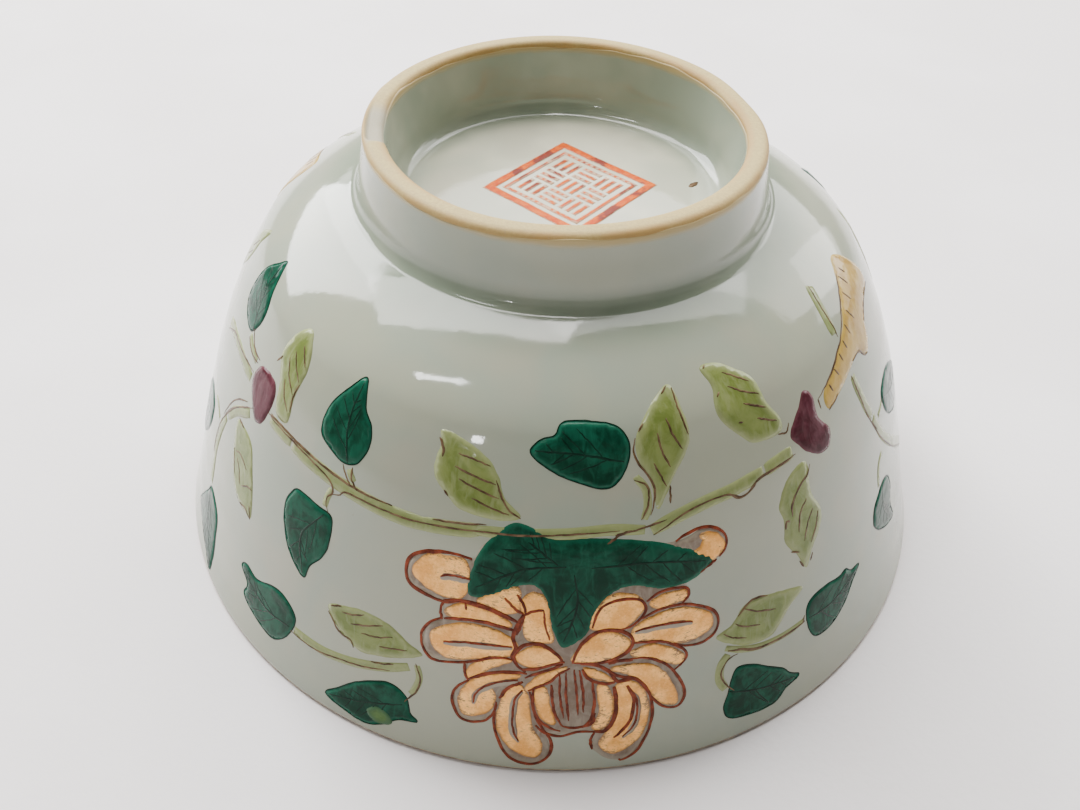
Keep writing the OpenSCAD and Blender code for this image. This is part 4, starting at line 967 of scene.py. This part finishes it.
def clay_material():
    """Unglazed, wiped clay, with an orange flash along both edges of the foot."""
    n = Nodes("bare_clay")
    at = n.place()
    x, y = n.split(at)[:2]
    grain = n.noise(at, 2.6, 5, 0.65)
    patch = n.noise(at, 0.16, 3, 0.6)
    colour = n.mix(n.ramp(grain, 0.3, 0.75), (0.36, 0.27, 0.09), (0.48, 0.375, 0.15))
    across = n.from_axis(at)
    outer = n.ramp(across, TIP_R - 0.95, TIP_R - 0.2)
    inner = n.ramp(across, TIP_IN_R + 1.1, TIP_IN_R + 0.2)
    edge = n.math("MAXIMUM", outer, inner)
    flash = n.math("MULTIPLY", edge, n.ramp(patch, 0.34, 0.62, 0.35, 0.9))
    colour = n.mix(flash, colour, (0.36, 0.21, 0.06))
    colour = n.mix(n.ramp(patch, 0.5, 0.75, end=0.35), colour, (0.46, 0.31, 0.095))
    turn = n.math("ARCTAN2", x, n.math("MULTIPLY", y, -1.0))
    chip = n.math("MULTIPLY", n.ramp(turn, CHIP_END + 0.02, CHIP_END - 0.05),
                  n.ramp(turn, CHIP_START + 0.05, CHIP_START + 0.2))
    chip = n.math("MULTIPLY", chip, n.ramp(across, TIP_R - 0.4, TIP_R - 0.9))
    colour = n.mix(chip, colour, (0.32, 0.29, 0.20))
    pits = n.ramp(n.cells(at, 1.3), 0.22, 0.05)
    colour = n.mix(n.math("MULTIPLY", pits, 0.35), colour, (0.34, 0.24, 0.14))
    n.bump((grain, 0.10), (pits, -0.08), (n.noise(at, 7, 3), 0.05))
    return n.finish(colour, n.ramp(grain, 0.3, 0.7, 0.6, 0.8))


def lip_material():
    """The thin iron-brown edge of the mouth, showing paler where it is worn."""
    n = Nodes("brown_edge")
    at = n.place()
    patch = n.noise(at, 0.5, 4, 0.6)
    colour = n.mix(n.ramp(patch, 0.35, 0.7), (0.27, 0.17, 0.08), (0.44, 0.32, 0.19))
    n.bump((n.noise(at, 1.5, 3), 0.05))
    return n.finish(colour, n.ramp(patch, 0.3, 0.8, 0.2, 0.4))


def enamel_material(name, deep, mid, thin, fade, wash, streak=0.5, gloss=1.3):
    """Glassy enamel: darker where thick, mottled, and fading into the glaze at its edge.
    fade is how far in from the edge it fades, in millimetres, and wash how much of it goes."""
    n = Nodes(name)
    edge = n.split(n.drawn())[2]
    shift = n.moved(n.drawn())
    cloud = n.noise(shift, 0.32, 4, 0.62, 0.6)
    fine = n.noise(shift, 1.6, 4, 0.65)
    pull = n.noise(n.vector("MULTIPLY", shift, (1.5, 0.45, 0)), 0.6, 3, 0.6, 0.8)
    colour = n.mix(n.ramp(cloud, 0.36, 0.64), deep, mid)
    colour = n.mix(n.ramp(pull, 0.48, 0.72, end=streak), colour, thin)
    colour = n.mix(n.ramp(fine, 0.5, 0.8, end=0.25), colour, deep)
    colour = n.mix(n.ramp(n.uneven(edge, fine, 0.5), fade, 0.0, end=wash), colour, thin)
    pin = n.ramp(n.cells(shift, 1.1), 0.09, 0.03)
    n.bump((n.noise(shift, 0.5, 2), 0.10), (fine, 0.015), (pin, -0.04))
    rough = n.ramp(fine, 0.3, 0.8, 0.10, 0.2)
    return n.finish(colour, rough, ior=gloss)


def line_material(name, dark, light, rough=0.25):
    """A painted line: darker where the brush was full, thin and paler in between."""
    n = Nodes(name)
    shift = n.moved(n.drawn())
    flow = n.noise(n.vector("MULTIPLY", shift, (1, 1, 0.3)), 0.7, 4, 0.6)
    colour = n.mix(n.ramp(flow, 0.35, 0.66), dark, light)
    n.bump((n.noise(shift, 2.5, 2), 0.04))
    return n.finish(colour, rough, ior=1.18)


def gold_material():
    """Brushed-on matt gold, rubbed thin at the petals' rims so that its brown ground shows."""
    n = Nodes("gold_leaf_paint")
    edge = n.split(n.drawn())[2]
    shift = n.moved(n.vector("MULTIPLY", n.drawn(), (1, 1, 0)))
    fine = n.noise(shift, 3.2, 6, 0.75)
    broad = n.noise(shift, 0.30, 3, 0.6)
    scratch = n.noise(n.vector("MULTIPLY", shift, (1.0, 2.6, 1)), 1.0, 5, 0.72, 1.5)
    colour = n.mix(n.ramp(broad, 0.38, 0.62), (0.74, 0.33, 0.060), (0.98, 0.52, 0.145))
    colour = n.mix(n.ramp(fine, 0.48, 0.66, end=0.55), colour, (0.50, 0.22, 0.045))
    colour = n.mix(n.ramp(fine, 0.44, 0.32, end=0.5), colour, (1.0, 0.72, 0.34))
    wear = n.uneven(n.math("ADD", scratch, n.ramp(edge, 0.7, 0.0, end=0.10)), broad, 0.5)
    worn = n.ramp(wear, 0.61, 0.67, end=0.85)
    colour = n.mix(worn, colour, (0.12, 0.065, 0.03))
    colour = n.mix(n.ramp(edge, 0.22, 0.0, end=0.6), colour, (0.30, 0.13, 0.04))
    n.bump((fine, 0.12), (scratch, 0.08), (worn, -0.03))
    metallic = n.math("MULTIPLY", n.math("SUBTRACT", 1.0, worn), 0.4)
    return n.finish(colour, n.ramp(fine, 0.3, 0.75, 0.32, 0.5), metallic=metallic)


def seal_material():
    """Red seal colour, thin in places, with a few darker stains."""
    n = Nodes("seal_red")
    at = n.place()
    thin = n.noise(at, 0.9, 4, 0.65)
    stain = n.noise(at, 0.24, 3, 0.55)
    colour = n.mix(n.ramp(thin, 0.35, 0.68), (0.46, 0.05, 0.002), (0.58, 0.115, 0.009))
    colour = n.mix(n.ramp(stain, 0.54, 0.62, end=0.85), colour, (0.12, 0.02, 0.02))
    edge = n.uneven(n.split(n.drawn())[2], thin, 0.4)
    colour = n.mix(n.ramp(edge, 0.24, 0.0, end=0.75), colour, (0.56, 0.42, 0.28))
    n.bump((thin, 0.04))
    return n.finish(colour, 0.4, ior=1.2)


def cloth_material():
    """Pale cloth, with painted shade that makes it greyer away from the bowl."""
    n = Nodes("pale_floor")
    at = n.place()
    colour = n.mix(n.ramp(n.noise(at, 0.02, 3), 0.4, 0.65), (0.74, 0.71, 0.705), (0.78, 0.755, 0.755))
    # Painted shade: the even cloth colour turns grey from 130 mm to 750 mm off the bowl's axis, as light
    # falls off.
    across = n.from_axis(at)
    colour = n.mix(n.ramp(across, 130, 750), colour, (0.42, 0.41, 0.405))
    n.bump((n.noise(at, 0.8, 3), 0.05))
    return n.finish(colour, 0.9)


CLAY = clay_material()
BODY, COOL, WARM = (0.41, 0.42, 0.325), (0.37, 0.405, 0.32), (0.44, 0.415, 0.32)
POOL = (0.25, 0.29, 0.22)
# Painted shade: the outer coat has the glaze's colours made about a fifth darker, for the wall that faces
# away from the lights.
SHADED_GLAZE_OUT = glaze_material("clear_glaze", (0.32, 0.335, 0.25), (0.285, 0.32, 0.25), (0.345, 0.33, 0.245),
                           (0.19, 0.23, 0.165), "outside")
GLAZE_IN = glaze_material("clear_glaze_inside", BODY, COOL, WARM, (0.38, 0.42, 0.33), "inside")
# Painted light: the well's coat has a lighter copy of the glaze's colour, for the floor of the well, which
# faces up to the lights.
LIT_GLAZE_WELL = glaze_material("clear_glaze_well", (0.52, 0.51, 0.39), BODY, WARM, POOL, "well")
LIP = lip_material()
DARK_GREEN = enamel_material("dark_green_enamel", (0.003, 0.030, 0.016), (0.006, 0.066, 0.037),
                             (0.014, 0.12, 0.070), 0.7, 0.6, 0.35, 1.17)
PALE_GREEN = enamel_material("pale_green_enamel", (0.12, 0.16, 0.035), (0.185, 0.225, 0.065),
                             (0.27, 0.30, 0.135), 1.2, 0.8, 0.5, 1.3)
PURPLE = enamel_material("purple_enamel", (0.045, 0.009, 0.013), (0.085, 0.022, 0.032),
                         (0.15, 0.06, 0.07), 0.6, 0.5, 0.5, 1.17)
LEAF_TOUCH = enamel_material("green_touch", (0.06, 0.12, 0.035), (0.10, 0.18, 0.055),
                             (0.04, 0.10, 0.05), 0.9, 0.9, 0.3, 1.2)
YELLOW = enamel_material("yellow_enamel", (0.34, 0.205, 0.035), (0.43, 0.28, 0.055),
                         (0.47, 0.34, 0.09), 0.6, 0.6, 0.4, 1.3)
GROUND = enamel_material("petal_ground", (0.16, 0.115, 0.08), (0.22, 0.17, 0.125),
                         (0.33, 0.29, 0.22), 0.9, 0.8)
SEPIA = line_material("sepia_line", (0.055, 0.030, 0.016), (0.16, 0.10, 0.055))
IRON = line_material("iron_red_line", (0.085, 0.017, 0.008), (0.25, 0.052, 0.022))
GOLD = gold_material()
SEAL = seal_material()
DEEP_LINE = line_material("deep_line", (0.002, 0.014, 0.008), (0.006, 0.030, 0.018), 0.15)


# ---- The fired body ----

def rounded_lip(skin, inner, by):
    """The two halves of the outline round the lip: from the outside, and on to the inside."""
    out = (np.interp(LIP_H, skin[:, 1], skin[:, 0]), LIP_H)
    back = (np.interp(LIP_H, inner[:, 1], inner[:, 0]), LIP_H)
    foot = ((MOUTH_R + inner[0, 0]) / 2 - 0.05, by)
    return corner(out, (MOUTH_R + 0.05 - by, by), foot, 8), corner(foot, (inner[0, 0] + by, by), back, 8)


def above(outline, low):
    return outline[outline[:, 1] > low]


def below(outline, high):
    return outline[outline[:, 1] < high]


lip_out, lip_in = rounded_lip(WALL, INSIDE, 0.0)
clay_out, clay_in = rounded_lip(OUTSIDE_CLAY, INSIDE_CLAY, GLAZE_T)
CLAY_EDGE = BOWL_H - GLAZE_GAP - 0.45
# The foot ring's bare tip, from the outside over to the well, with a small step where the glaze ends
step_out = [(TIP_R - 0.3, BOWL_H - 1.3), (TIP_R - 0.28, BOWL_H - 1.1), (TIP_R - 0.1, BOWL_H - 1.05),
            (TIP_R - 0.06, BOWL_H - 0.8)]
step_in = [(TIP_IN_R + 0.08, BOWL_H - 0.8), (TIP_IN_R + 0.12, BOWL_H - 1.05), (TIP_IN_R + 0.3, BOWL_H - 1.1),
           (TIP_IN_R + 0.3, BOWL_H - 1.3)]
clay_tip = [
    bezier(*step_out, 5),
    corner(step_out[-1], (TIP_R - 0.1, BOWL_H), (TIP_R - 1.2, BOWL_H), 10, 1),
    corner((TIP_IN_R + 1, BOWL_H), (TIP_IN_R + 0.1, BOWL_H), step_in[0], 10),
    bezier(*step_in, 5, 1),
]
clay_outline = np.vstack([
    [0, INSIDE_CLAY[-1, 1]], above(INSIDE_CLAY, LIP_H + 0.05)[::-1][1:], clay_in[::-1], clay_out[::-1][1:],
    below(above(OUTSIDE_CLAY, LIP_H + 0.05), CLAY_EDGE), *clay_tip, below(WELL_CLAY, CLAY_EDGE)[:-1],
    [0, WELL_CLAY[-1, 1]],
])
turned("clay_body", clay_outline, False, "porcelain_body", CLAY)


def wiped(points):
    """Moves a glaze coat's edge up and down, as unevenly as it was wiped back from the tip of the foot."""
    turn = np.arctan2(points[:, 0], -points[:, 1])
    wave = (0.13 * np.sin(3 * turn + 0.4) + 0.09 * np.sin(7 * turn + 2) + 0.06 * np.sin(13 * turn + 1)
            + 0.04 * np.sin(29 * turn))
    near = slope(points[:, 2], BOWL_H - 2.6, BOWL_H - 1.2)
    return points + np.stack([0 * turn, 0 * turn, wave * near], 1)


# Each coat lies between its skin and a line a little inside the clay. The outer one and the well's end in
# a rounded bead near the foot ring's tip.
skin = np.vstack([lip_out[::-1][3:], above(WALL, LIP_H + 0.02), FOOT_SIDE])
bead = corner(skin[-1], skin[-1] + (0, 0.32), skin[-1] + (-0.42, 0.2), 6, 1)
under = above(OUTSIDE_CLAY - COAT_SUNK * normals(OUTSIDE_CLAY), LIP_H + 0.2)
turned("outer_glaze_coat", np.vstack([skin, bead, under[::-1], [MOUTH_R - 0.75, 0.75]]), True,
       "outer_glaze", SHADED_GLAZE_OUT, wave=wiped)

well_under = WELL_CLAY - COAT_SUNK * normals(WELL_CLAY)
well_under[-1, 0] = 0
well_under[0] += (0, 0.05)
well_bead = corner(WELL[0] + (0.42, 0.2), WELL[0] + (0, 0.32), WELL[0], 6)[:-1]
turned("foot_well_glaze_coat", np.vstack([WELL[::-1], well_bead[::-1], well_under]), False,
       "foot_well_glaze", LIT_GLAZE_WELL, wave=wiped)

inner_skin = np.vstack([lip_in[3:-1], above(INSIDE, LIP_H + 0.02)])
inner_under = INSIDE_CLAY + COAT_SUNK * normals(INSIDE_CLAY)
inner_under[-1, 0] = 0
inner_under = np.vstack([[INSIDE[0, 0] + 0.75, 0.75], above(inner_under, LIP_H + 0.2)])
turned("inner_glaze_coat", np.vstack([inner_skin[::-1], inner_under]), False,
       "inner_glaze", GLAZE_IN)

# The brown edge stands a hair proud of the glaze on both faces of the lip
band_out = lip_out[::-1][:6] + (0.02, 0)
band_in = lip_in[:6] - (0.02, 0)
band_under = [[MOUTH_R - 0.8, 0.8], [INSIDE[0, 0] + 0.8, 0.8]]
turned("brown_lip", np.vstack([band_in[::-1][:-1], band_out, band_under]), True,
       "lip_dressing", LIP, 360)


# ---- The painting ----

def numbered(drawings):
    """Every drawing in order: its number, the spot that it is drawn from, and the drawing itself."""
    flat = [(spot, one) for spot, group in drawings for one in group]
    return [(k, spot, one) for k, (spot, one) in enumerate(flat)]


def side_veins(rib, outline, seed):
    """Short veins that leave a leaf's middle vein on both sides and stop inside its edge."""
    line = spline(rib, False, 0.25)
    along = np.gradient(line, axis=0)
    along /= np.hypot(along[:, 0], along[:, 1])[:, None]
    reach = np.arange(0, 4, 0.2)[:, None]
    veins = []
    rng = np.random.default_rng(seed)
    for t in (0.2, 0.38, 0.56, 0.72):
        for side in (1, -1):
            i = int((t + 0.05 * rng.uniform(-1, 1) + 0.05 * (side < 0)) * (len(line) - 1))
            a = math.radians(42 + 8 * rng.uniform(-1, 1)) * side
            way = np.array([along[i, 0] * math.cos(a) - along[i, 1] * math.sin(a),
                            along[i, 0] * math.sin(a) + along[i, 1] * math.cos(a)])
            ray = line[i] + way * reach + along[i] * 0.05 * reach ** 2
            free = inside(ray, outline) & (distance(ray, outline) > 0.5)
            last = len(ray) if free.all() else int(np.argmin(free))
            if last > 4:
                veins.append(ray[[0, last // 2, last - 1]])
    return veins


GOLD_BASE, GOLD_T, GOLD_EDGE = 0.035, 0.05, 0.3    # the gold's foot off the glaze, thickness and edge


def spray(side, turn):
    """One painted spray. The back one is the same painting, half a turn round, by the same hand."""
    seed = 100 if turn else 1
    enamels.clear()
    gilded = []

    def here(spot):
        return (spot[0] + turn, spot[1])

    flower = here(FLOWER)

    def layer(name, slot, material, draw, in_cad=True):
        """One piece of the spray. in_cad says that it takes the place of the CAD solid of the same name."""
        made = Layer()
        draw(made)
        made.piece(f"{side}_{name}", slot, f"{side}_{name}" if in_cad else None, material)

    def outline(points, k, spacing=0.3, shake=0.07):
        return shaky(spline(points, True, spacing), True, shake, seed + k)

    def vine(made):
        for k, spot, (path, width) in numbered(vines):
            enamel(made, here(spot), ribbon(path, width), height=0.05, tone=k / 23, width=0.4, grid=0.4)

    def leaves(drawings, height, width):
        def draw(made):
            for k, spot, (edge, _) in numbered(drawings):
                enamel(made, here(spot), outline(edge, k), height, k / 13 + 0.02, width)
        return draw

    def branch_patch(made):
        enamel(made, here(BRANCH), outline(branch, 3), height=0.08, tone=0.1, width=0.5)

    def ground(made):
        enamel(made, flower, outline(petal_ground, 5), height=0.03, tone=0.3, width=0.3, grid=0.8)

    def gold(made):
        for k, petal in enumerate(gold_petals + worn_petals):
            edge = outline(petal, k, spacing=0.25, shake=0.10)
            edge = edge + 0.18 * outward(edge)
            patch(made, flower, edge, GOLD_T, k / 19, width=GOLD_EDGE, grid=0.4, sunk=0.05, base=GOLD_BASE)
            gilded.append((flower, edge, GOLD_BASE + GOLD_T, GOLD_EDGE))

    def slots(made):
        for k, path in enumerate(petal_slots):
            brush(made, flower, path, width=0.85, height=0.02, tone=0.2 + k / 9, seed=seed + k)

    def petal_lines(made):
        for k, (path, width) in enumerate(petal_outlines):
            brush(made, flower, path, PETAL_BRUSH * width, height=0.035, tone=k / 41, taper=0.5,
                  seed=seed + k)
        for k, path in enumerate(petal_slots):
            brush(made, flower, np.array(path) + (0, 0.22), width=0.3, height=0.06, tone=k / 7, taper=0.5,
                  seed=seed + 60 + k)

    def petal_stripes(made):
        for k, path in enumerate(stripes):
            brush(made, flower, path, width=0.3, height=0.05, tone=k / 5, seed=seed + 80 + k)

    def calyx_patch(made):
        enamel(made, flower, outline(calyx, 9), height=0.12, tone=0.5, width=0.6)

    def ribs(made, spot, rib, edge, tone, rib_seed, vein_seed, first):
        """A leaf's middle vein with the veins beside it."""
        brush(made, spot, rib, width=0.24, height=0.004, tone=tone, seed=rib_seed)
        for j, vein in enumerate(side_veins(rib, edge, vein_seed)):
            brush(made, spot, vein, width=0.14, height=0.003, tone=tone, seed=first + j)

    def dark_veins(made):
        for k, spot, (edge, (rib,)) in numbered(dark_leaves):
            ribs(made, here(spot), rib, outline(edge, k), k / 12, seed + k, seed + k, seed + 20)
        for k, rib in enumerate(calyx_ribs):
            ribs(made, flower, rib, outline(calyx, 9), k / 4, seed + k, seed + 40 + k, seed + 60)

    def light_touch(made):
        edge = outline(light_on_leaf, 2, spacing=0.2)
        points, faces = sheet(edge, 0.35)
        e = distance(points, edge)
        lift = enamel_height(here(LOW_LEFT), points) + 0.004 + dome(e, 0.03, 0.4)
        solid(made, here(LOW_LEFT), points, faces, lift, 0.02, e, 0.7)

    def dark_edges(made):
        for k, spot, (leaf, _) in numbered(dark_leaves):
            edge = spline(leaf, True, 0.5)
            edge = edge + 0.03 * outward(edge)
            brush(made, here(spot), edge, width=0.13, height=0.01, tone=k / 12, closed=True, seed=seed + k)

    def pale_veins(made):
        for k, spot, (_, veins) in numbered(pale_leaves):
            for j, vein in enumerate(veins):
                brush(made, here(spot), vein, width=0.22, height=0.02, tone=k / 9 + j / 40,
                      seed=seed + 7 * k + j)

    def vine_lines(made):
        for k, spot, (path, width) in numbered(sepia_lines):
            brush(made, here(spot), path, FINE_BRUSH * width, height=0.02, tone=k / 59, seed=seed + k)

    def ticks(made):
        for k, path in enumerate(branch_ticks):
            brush(made, here(BRANCH), path, width=0.24, height=0.02, tone=k / 9, seed=seed + k)

    layer("vine", "pale_green_enamel", PALE_GREEN, vine)
    layer("pale_leaves", "pale_green_enamel", PALE_GREEN, leaves(pale_leaves, 0.06, 0.5))
    layer("dark_leaves", "dark_green_enamel", DARK_GREEN, leaves(dark_leaves, 0.11, 0.6))
    layer("buds", "purple_enamel", PURPLE, leaves(buds, 0.10, 0.5))
    layer("branch", "yellow_enamel", YELLOW, branch_patch)
    layer("petal_ground", "sepia_line", GROUND, ground, in_cad=False)
    layer("gold_petals", "gold_leaf_paint", GOLD, gold)
    enamels.extend(gilded)
    layer("petal_slots", "sepia_line", GROUND, slots, in_cad=False)
    layer("petal_lines", "iron_red_line", IRON, petal_lines)
    layer("petal_stripes", "iron_red_line", IRON, petal_stripes)
    layer("calyx", "dark_green_enamel", DARK_GREEN, calyx_patch)
    layer("dark_leaf_veins", "sepia_line", DEEP_LINE, dark_veins, in_cad=False)
    layer("light_touch", "pale_green_enamel", LEAF_TOUCH, light_touch, in_cad=False)
    layer("dark_leaf_edges", "sepia_line", DEEP_LINE, dark_edges, in_cad=False)
    layer("leaf_veins", "sepia_line", SEPIA, pale_veins)
    layer("vine_lines", "sepia_line", SEPIA, vine_lines)
    layer("branch_ticks", "sepia_line", SEPIA, ticks)


spray("front", 0)
spray("back", 180)


# ---- The seal on the floor of the well ----

SEAL_W = 16.0
FRAME_LINE, INNER_LINE, FRAME_GAP = 1.3, 0.7, 0.5
WEAVE_GAP, WEAVE_LINE = 0.45, 0.72
INNER_W = SEAL_W - 2 * (FRAME_LINE + FRAME_GAP)
CELL = (INNER_W - 2 * (INNER_LINE + 0.4)) / 3


def stamped(layer, outer, hole, tone):
    """A thin printed patch of seal colour between two outlines."""
    loops = [outer] if hole is None else [outer, hole]

    def keep(p):
        return inside(p, outer) if hole is None else inside(p, outer) & ~inside(p, hole)

    points, faces = triangles(loops, 0.5, keep)
    edge = np.min([distance(points, loop) for loop in loops], axis=0)
    solid(layer, SEAL_SPOT, points, faces, dome(edge, 0.045, 0.25), 0.05, edge, tone)


def box_line(w, h, seed, x=0, y=0):
    corners = [np.array((x + i * w / 2, y + j * h / 2)) for i, j in ((-1, -1), (1, -1), (1, 1), (-1, 1))]
    bits = []
    for here, there in zip(corners, corners[1:] + corners[:1]):
        steps = max(3, int(np.hypot(*(there - here)) / 0.3))
        bits.append(np.linspace(here, there, steps, endpoint=False))
    return shaky(np.vstack(bits), True, 0.04, seed)


def square_line(layer, w, line, seed, tone):
    stamped(layer, box_line(w, w, seed), box_line(w - 2 * line, w - 2 * line, seed + 1), tone)


frame_lines = Layer()
square_line(frame_lines, SEAL_W, FRAME_LINE, 1, 0.1)
square_line(frame_lines, INNER_W, INNER_LINE, 3, 0.4)
frame_lines.piece("seal_frame_lines", "seal_red", "seal_frame", SEAL)

weave = Layer()
for column in (-1, 0, 1):
    for row in (-1, 0, 1):
        for stripe in (-1, 0, 1):
            shift = stripe * CELL / 3
            seed = 50 + 9 * column + 3 * row + stripe
            if (column + row) % 2 == 0:
                bar = box_line(CELL - WEAVE_GAP, WEAVE_LINE, seed, column * CELL, row * CELL + shift)
            else:
                bar = box_line(WEAVE_LINE, CELL - WEAVE_GAP, seed, column * CELL + shift, row * CELL)
            stamped(weave, bar, None, seed / 60)
weave.piece("seal_weave", "seal_red", "seal_fret", SEAL)

speck = Layer()
rust = spline([(-0.5, 0.1), (0, 0.42), (0.9, 0.3), (1.3, -0.1), (0.6, -0.4), (-0.2, -0.3)], True, 0.15)
rust = shaky(rust, True, 0.05, 8) + (10.9, -11.3)
patch(speck, SEAL_SPOT, rust, 0.10, 0.6, width=0.35, grid=0.25, sunk=0.05)
speck.piece("kiln_speck", "sepia_line", None, SEPIA)


# ---- Camera, floor and light ----

def placed(name, content, right, up, back, at):
    """An object that looks along -back, with its right and up sides where they are asked for."""
    holder = bpy.data.objects.new(name, content)
    matrix = Matrix((right, up, back)).transposed().to_4x4()
    matrix.translation = at
    holder.matrix_world = matrix
    bpy.context.scene.collection.objects.link(holder)
    return holder


CAMERA_AT = Vector((0, -120.1, 120.55)) * MM
CAMERA_RIGHT, CAMERA_UP = Vector((0.99893, 0.03888, 0.02499)), Vector((-0.04471, 0.67567, 0.73584))
camera = bpy.data.cameras.new("camera")
camera.lens = 36.3
camera.clip_start, camera.clip_end = 0.005, 20
back = CAMERA_RIGHT.cross(CAMERA_UP).normalized()
bpy.context.scene.camera = placed("camera", camera, CAMERA_RIGHT, back.cross(CAMERA_RIGHT), back, CAMERA_AT)


FLAT_R, COVE_R = 1.1, 0.5           # metres: the flat floor, and the curve from it to the wall
WALL_LOW, WALL_RISE = 0.65, 0.95    # metres: the wall's height in front, and how much higher it is behind
FLOOR_STEPS = 96                    # round the floor


def floor_sheet():
    """A pale round floor whose edge curves up into a low wall, which is higher behind the bowl."""
    line = [(0.1 * i, 0) for i in range(1, 12)]
    line += [(FLAT_R + COVE_R * math.sin(a), COVE_R - COVE_R * math.cos(a))
             for a in np.linspace(0.1, math.pi / 2, 12)]
    points, faces = [(0, 0, 0)], []
    for k in range(FLOOR_STEPS):
        turn = 2 * math.pi * k / FLOOR_STEPS
        top = WALL_LOW + WALL_RISE * max(0, math.sin(turn)) ** 0.5
        for r, z in line + [(FLAT_R + COVE_R, top)]:
            points.append((r * math.cos(turn), r * math.sin(turn), z))
    n = len(line) + 1
    for k in range(FLOOR_STEPS):
        here, there = 1 + k * n, 1 + (k + 1) % FLOOR_STEPS * n
        faces.append((0, here, there))
        faces += [(here + i, here + i + 1, there + i + 1, there + i) for i in range(n - 1)]
    mesh = bpy.data.meshes.new("floor")
    mesh.from_pydata(points, [], faces)
    mesh.polygons.foreach_set("use_smooth", [True] * len(faces))
    mesh.materials.append(cloth_material())
    floor = bpy.data.objects.new("floor", mesh)
    bpy.context.scene.collection.objects.link(floor)


floor_sheet()


WINDOW = (1.0, 0.985, 0.97)


def panel(name, way, size, radiance, colour=(1, 1, 1), along=(1, 0, 0)):
    """A softbox a metre from the bowl, facing it, with its long side along a direction."""
    back = Vector(way).normalized()
    side = (Vector(along) - back * back.dot(Vector(along))).normalized()
    light = bpy.data.lights.new(name, "AREA")
    light.shape = "RECTANGLE"
    light.size, light.size_y = size
    light.energy = radiance * math.pi * size[0] * size[1]
    light.color = colour
    placed(name, light, side, back.cross(side), back, back + Vector((0, 0, 0.03)))


panel("back_window", (0.15, 0.80, 0.62), (1.9, 0.75), 5.6, WINDOW)
panel("left_window", (-0.62, 0.60, 0.52), (0.55, 0.58), 20.0, (0.99, 0.99, 1.0), along=(0.58, -0.24, 0.77))
panel("overhead", (-0.27, 0.30, 0.915), (0.74, 0.34), 16.0, WINDOW, along=(0.95, -0.12, 0.25))
panel("right_band", (0.25, 0.41, 0.875), (0.68, 0.36), 6.5, WINDOW, along=(0.62, 0.20, -0.31))
panel("right_window", (0.80, 0.60, 0.30), (0.4, 0.4), 4.0, (1.0, 0.98, 0.97))
panel("lamp_streak", (-0.45, -0.25, 0.86), (0.24, 0.045), 45.0, along=(0.21, -0.05, 0.09))
panel("lamp_spot", (-0.38, -0.86, 0.34), (0.05, 0.05), 60.0)

world = bpy.data.worlds.new("studio")
bpy.context.scene.world = world
world.use_nodes = True
sky = world.node_tree.nodes["Background"]
sky.inputs["Color"].default_value = (0.84, 0.82, 0.78, 1)
sky.inputs["Strength"].default_value = 0.08
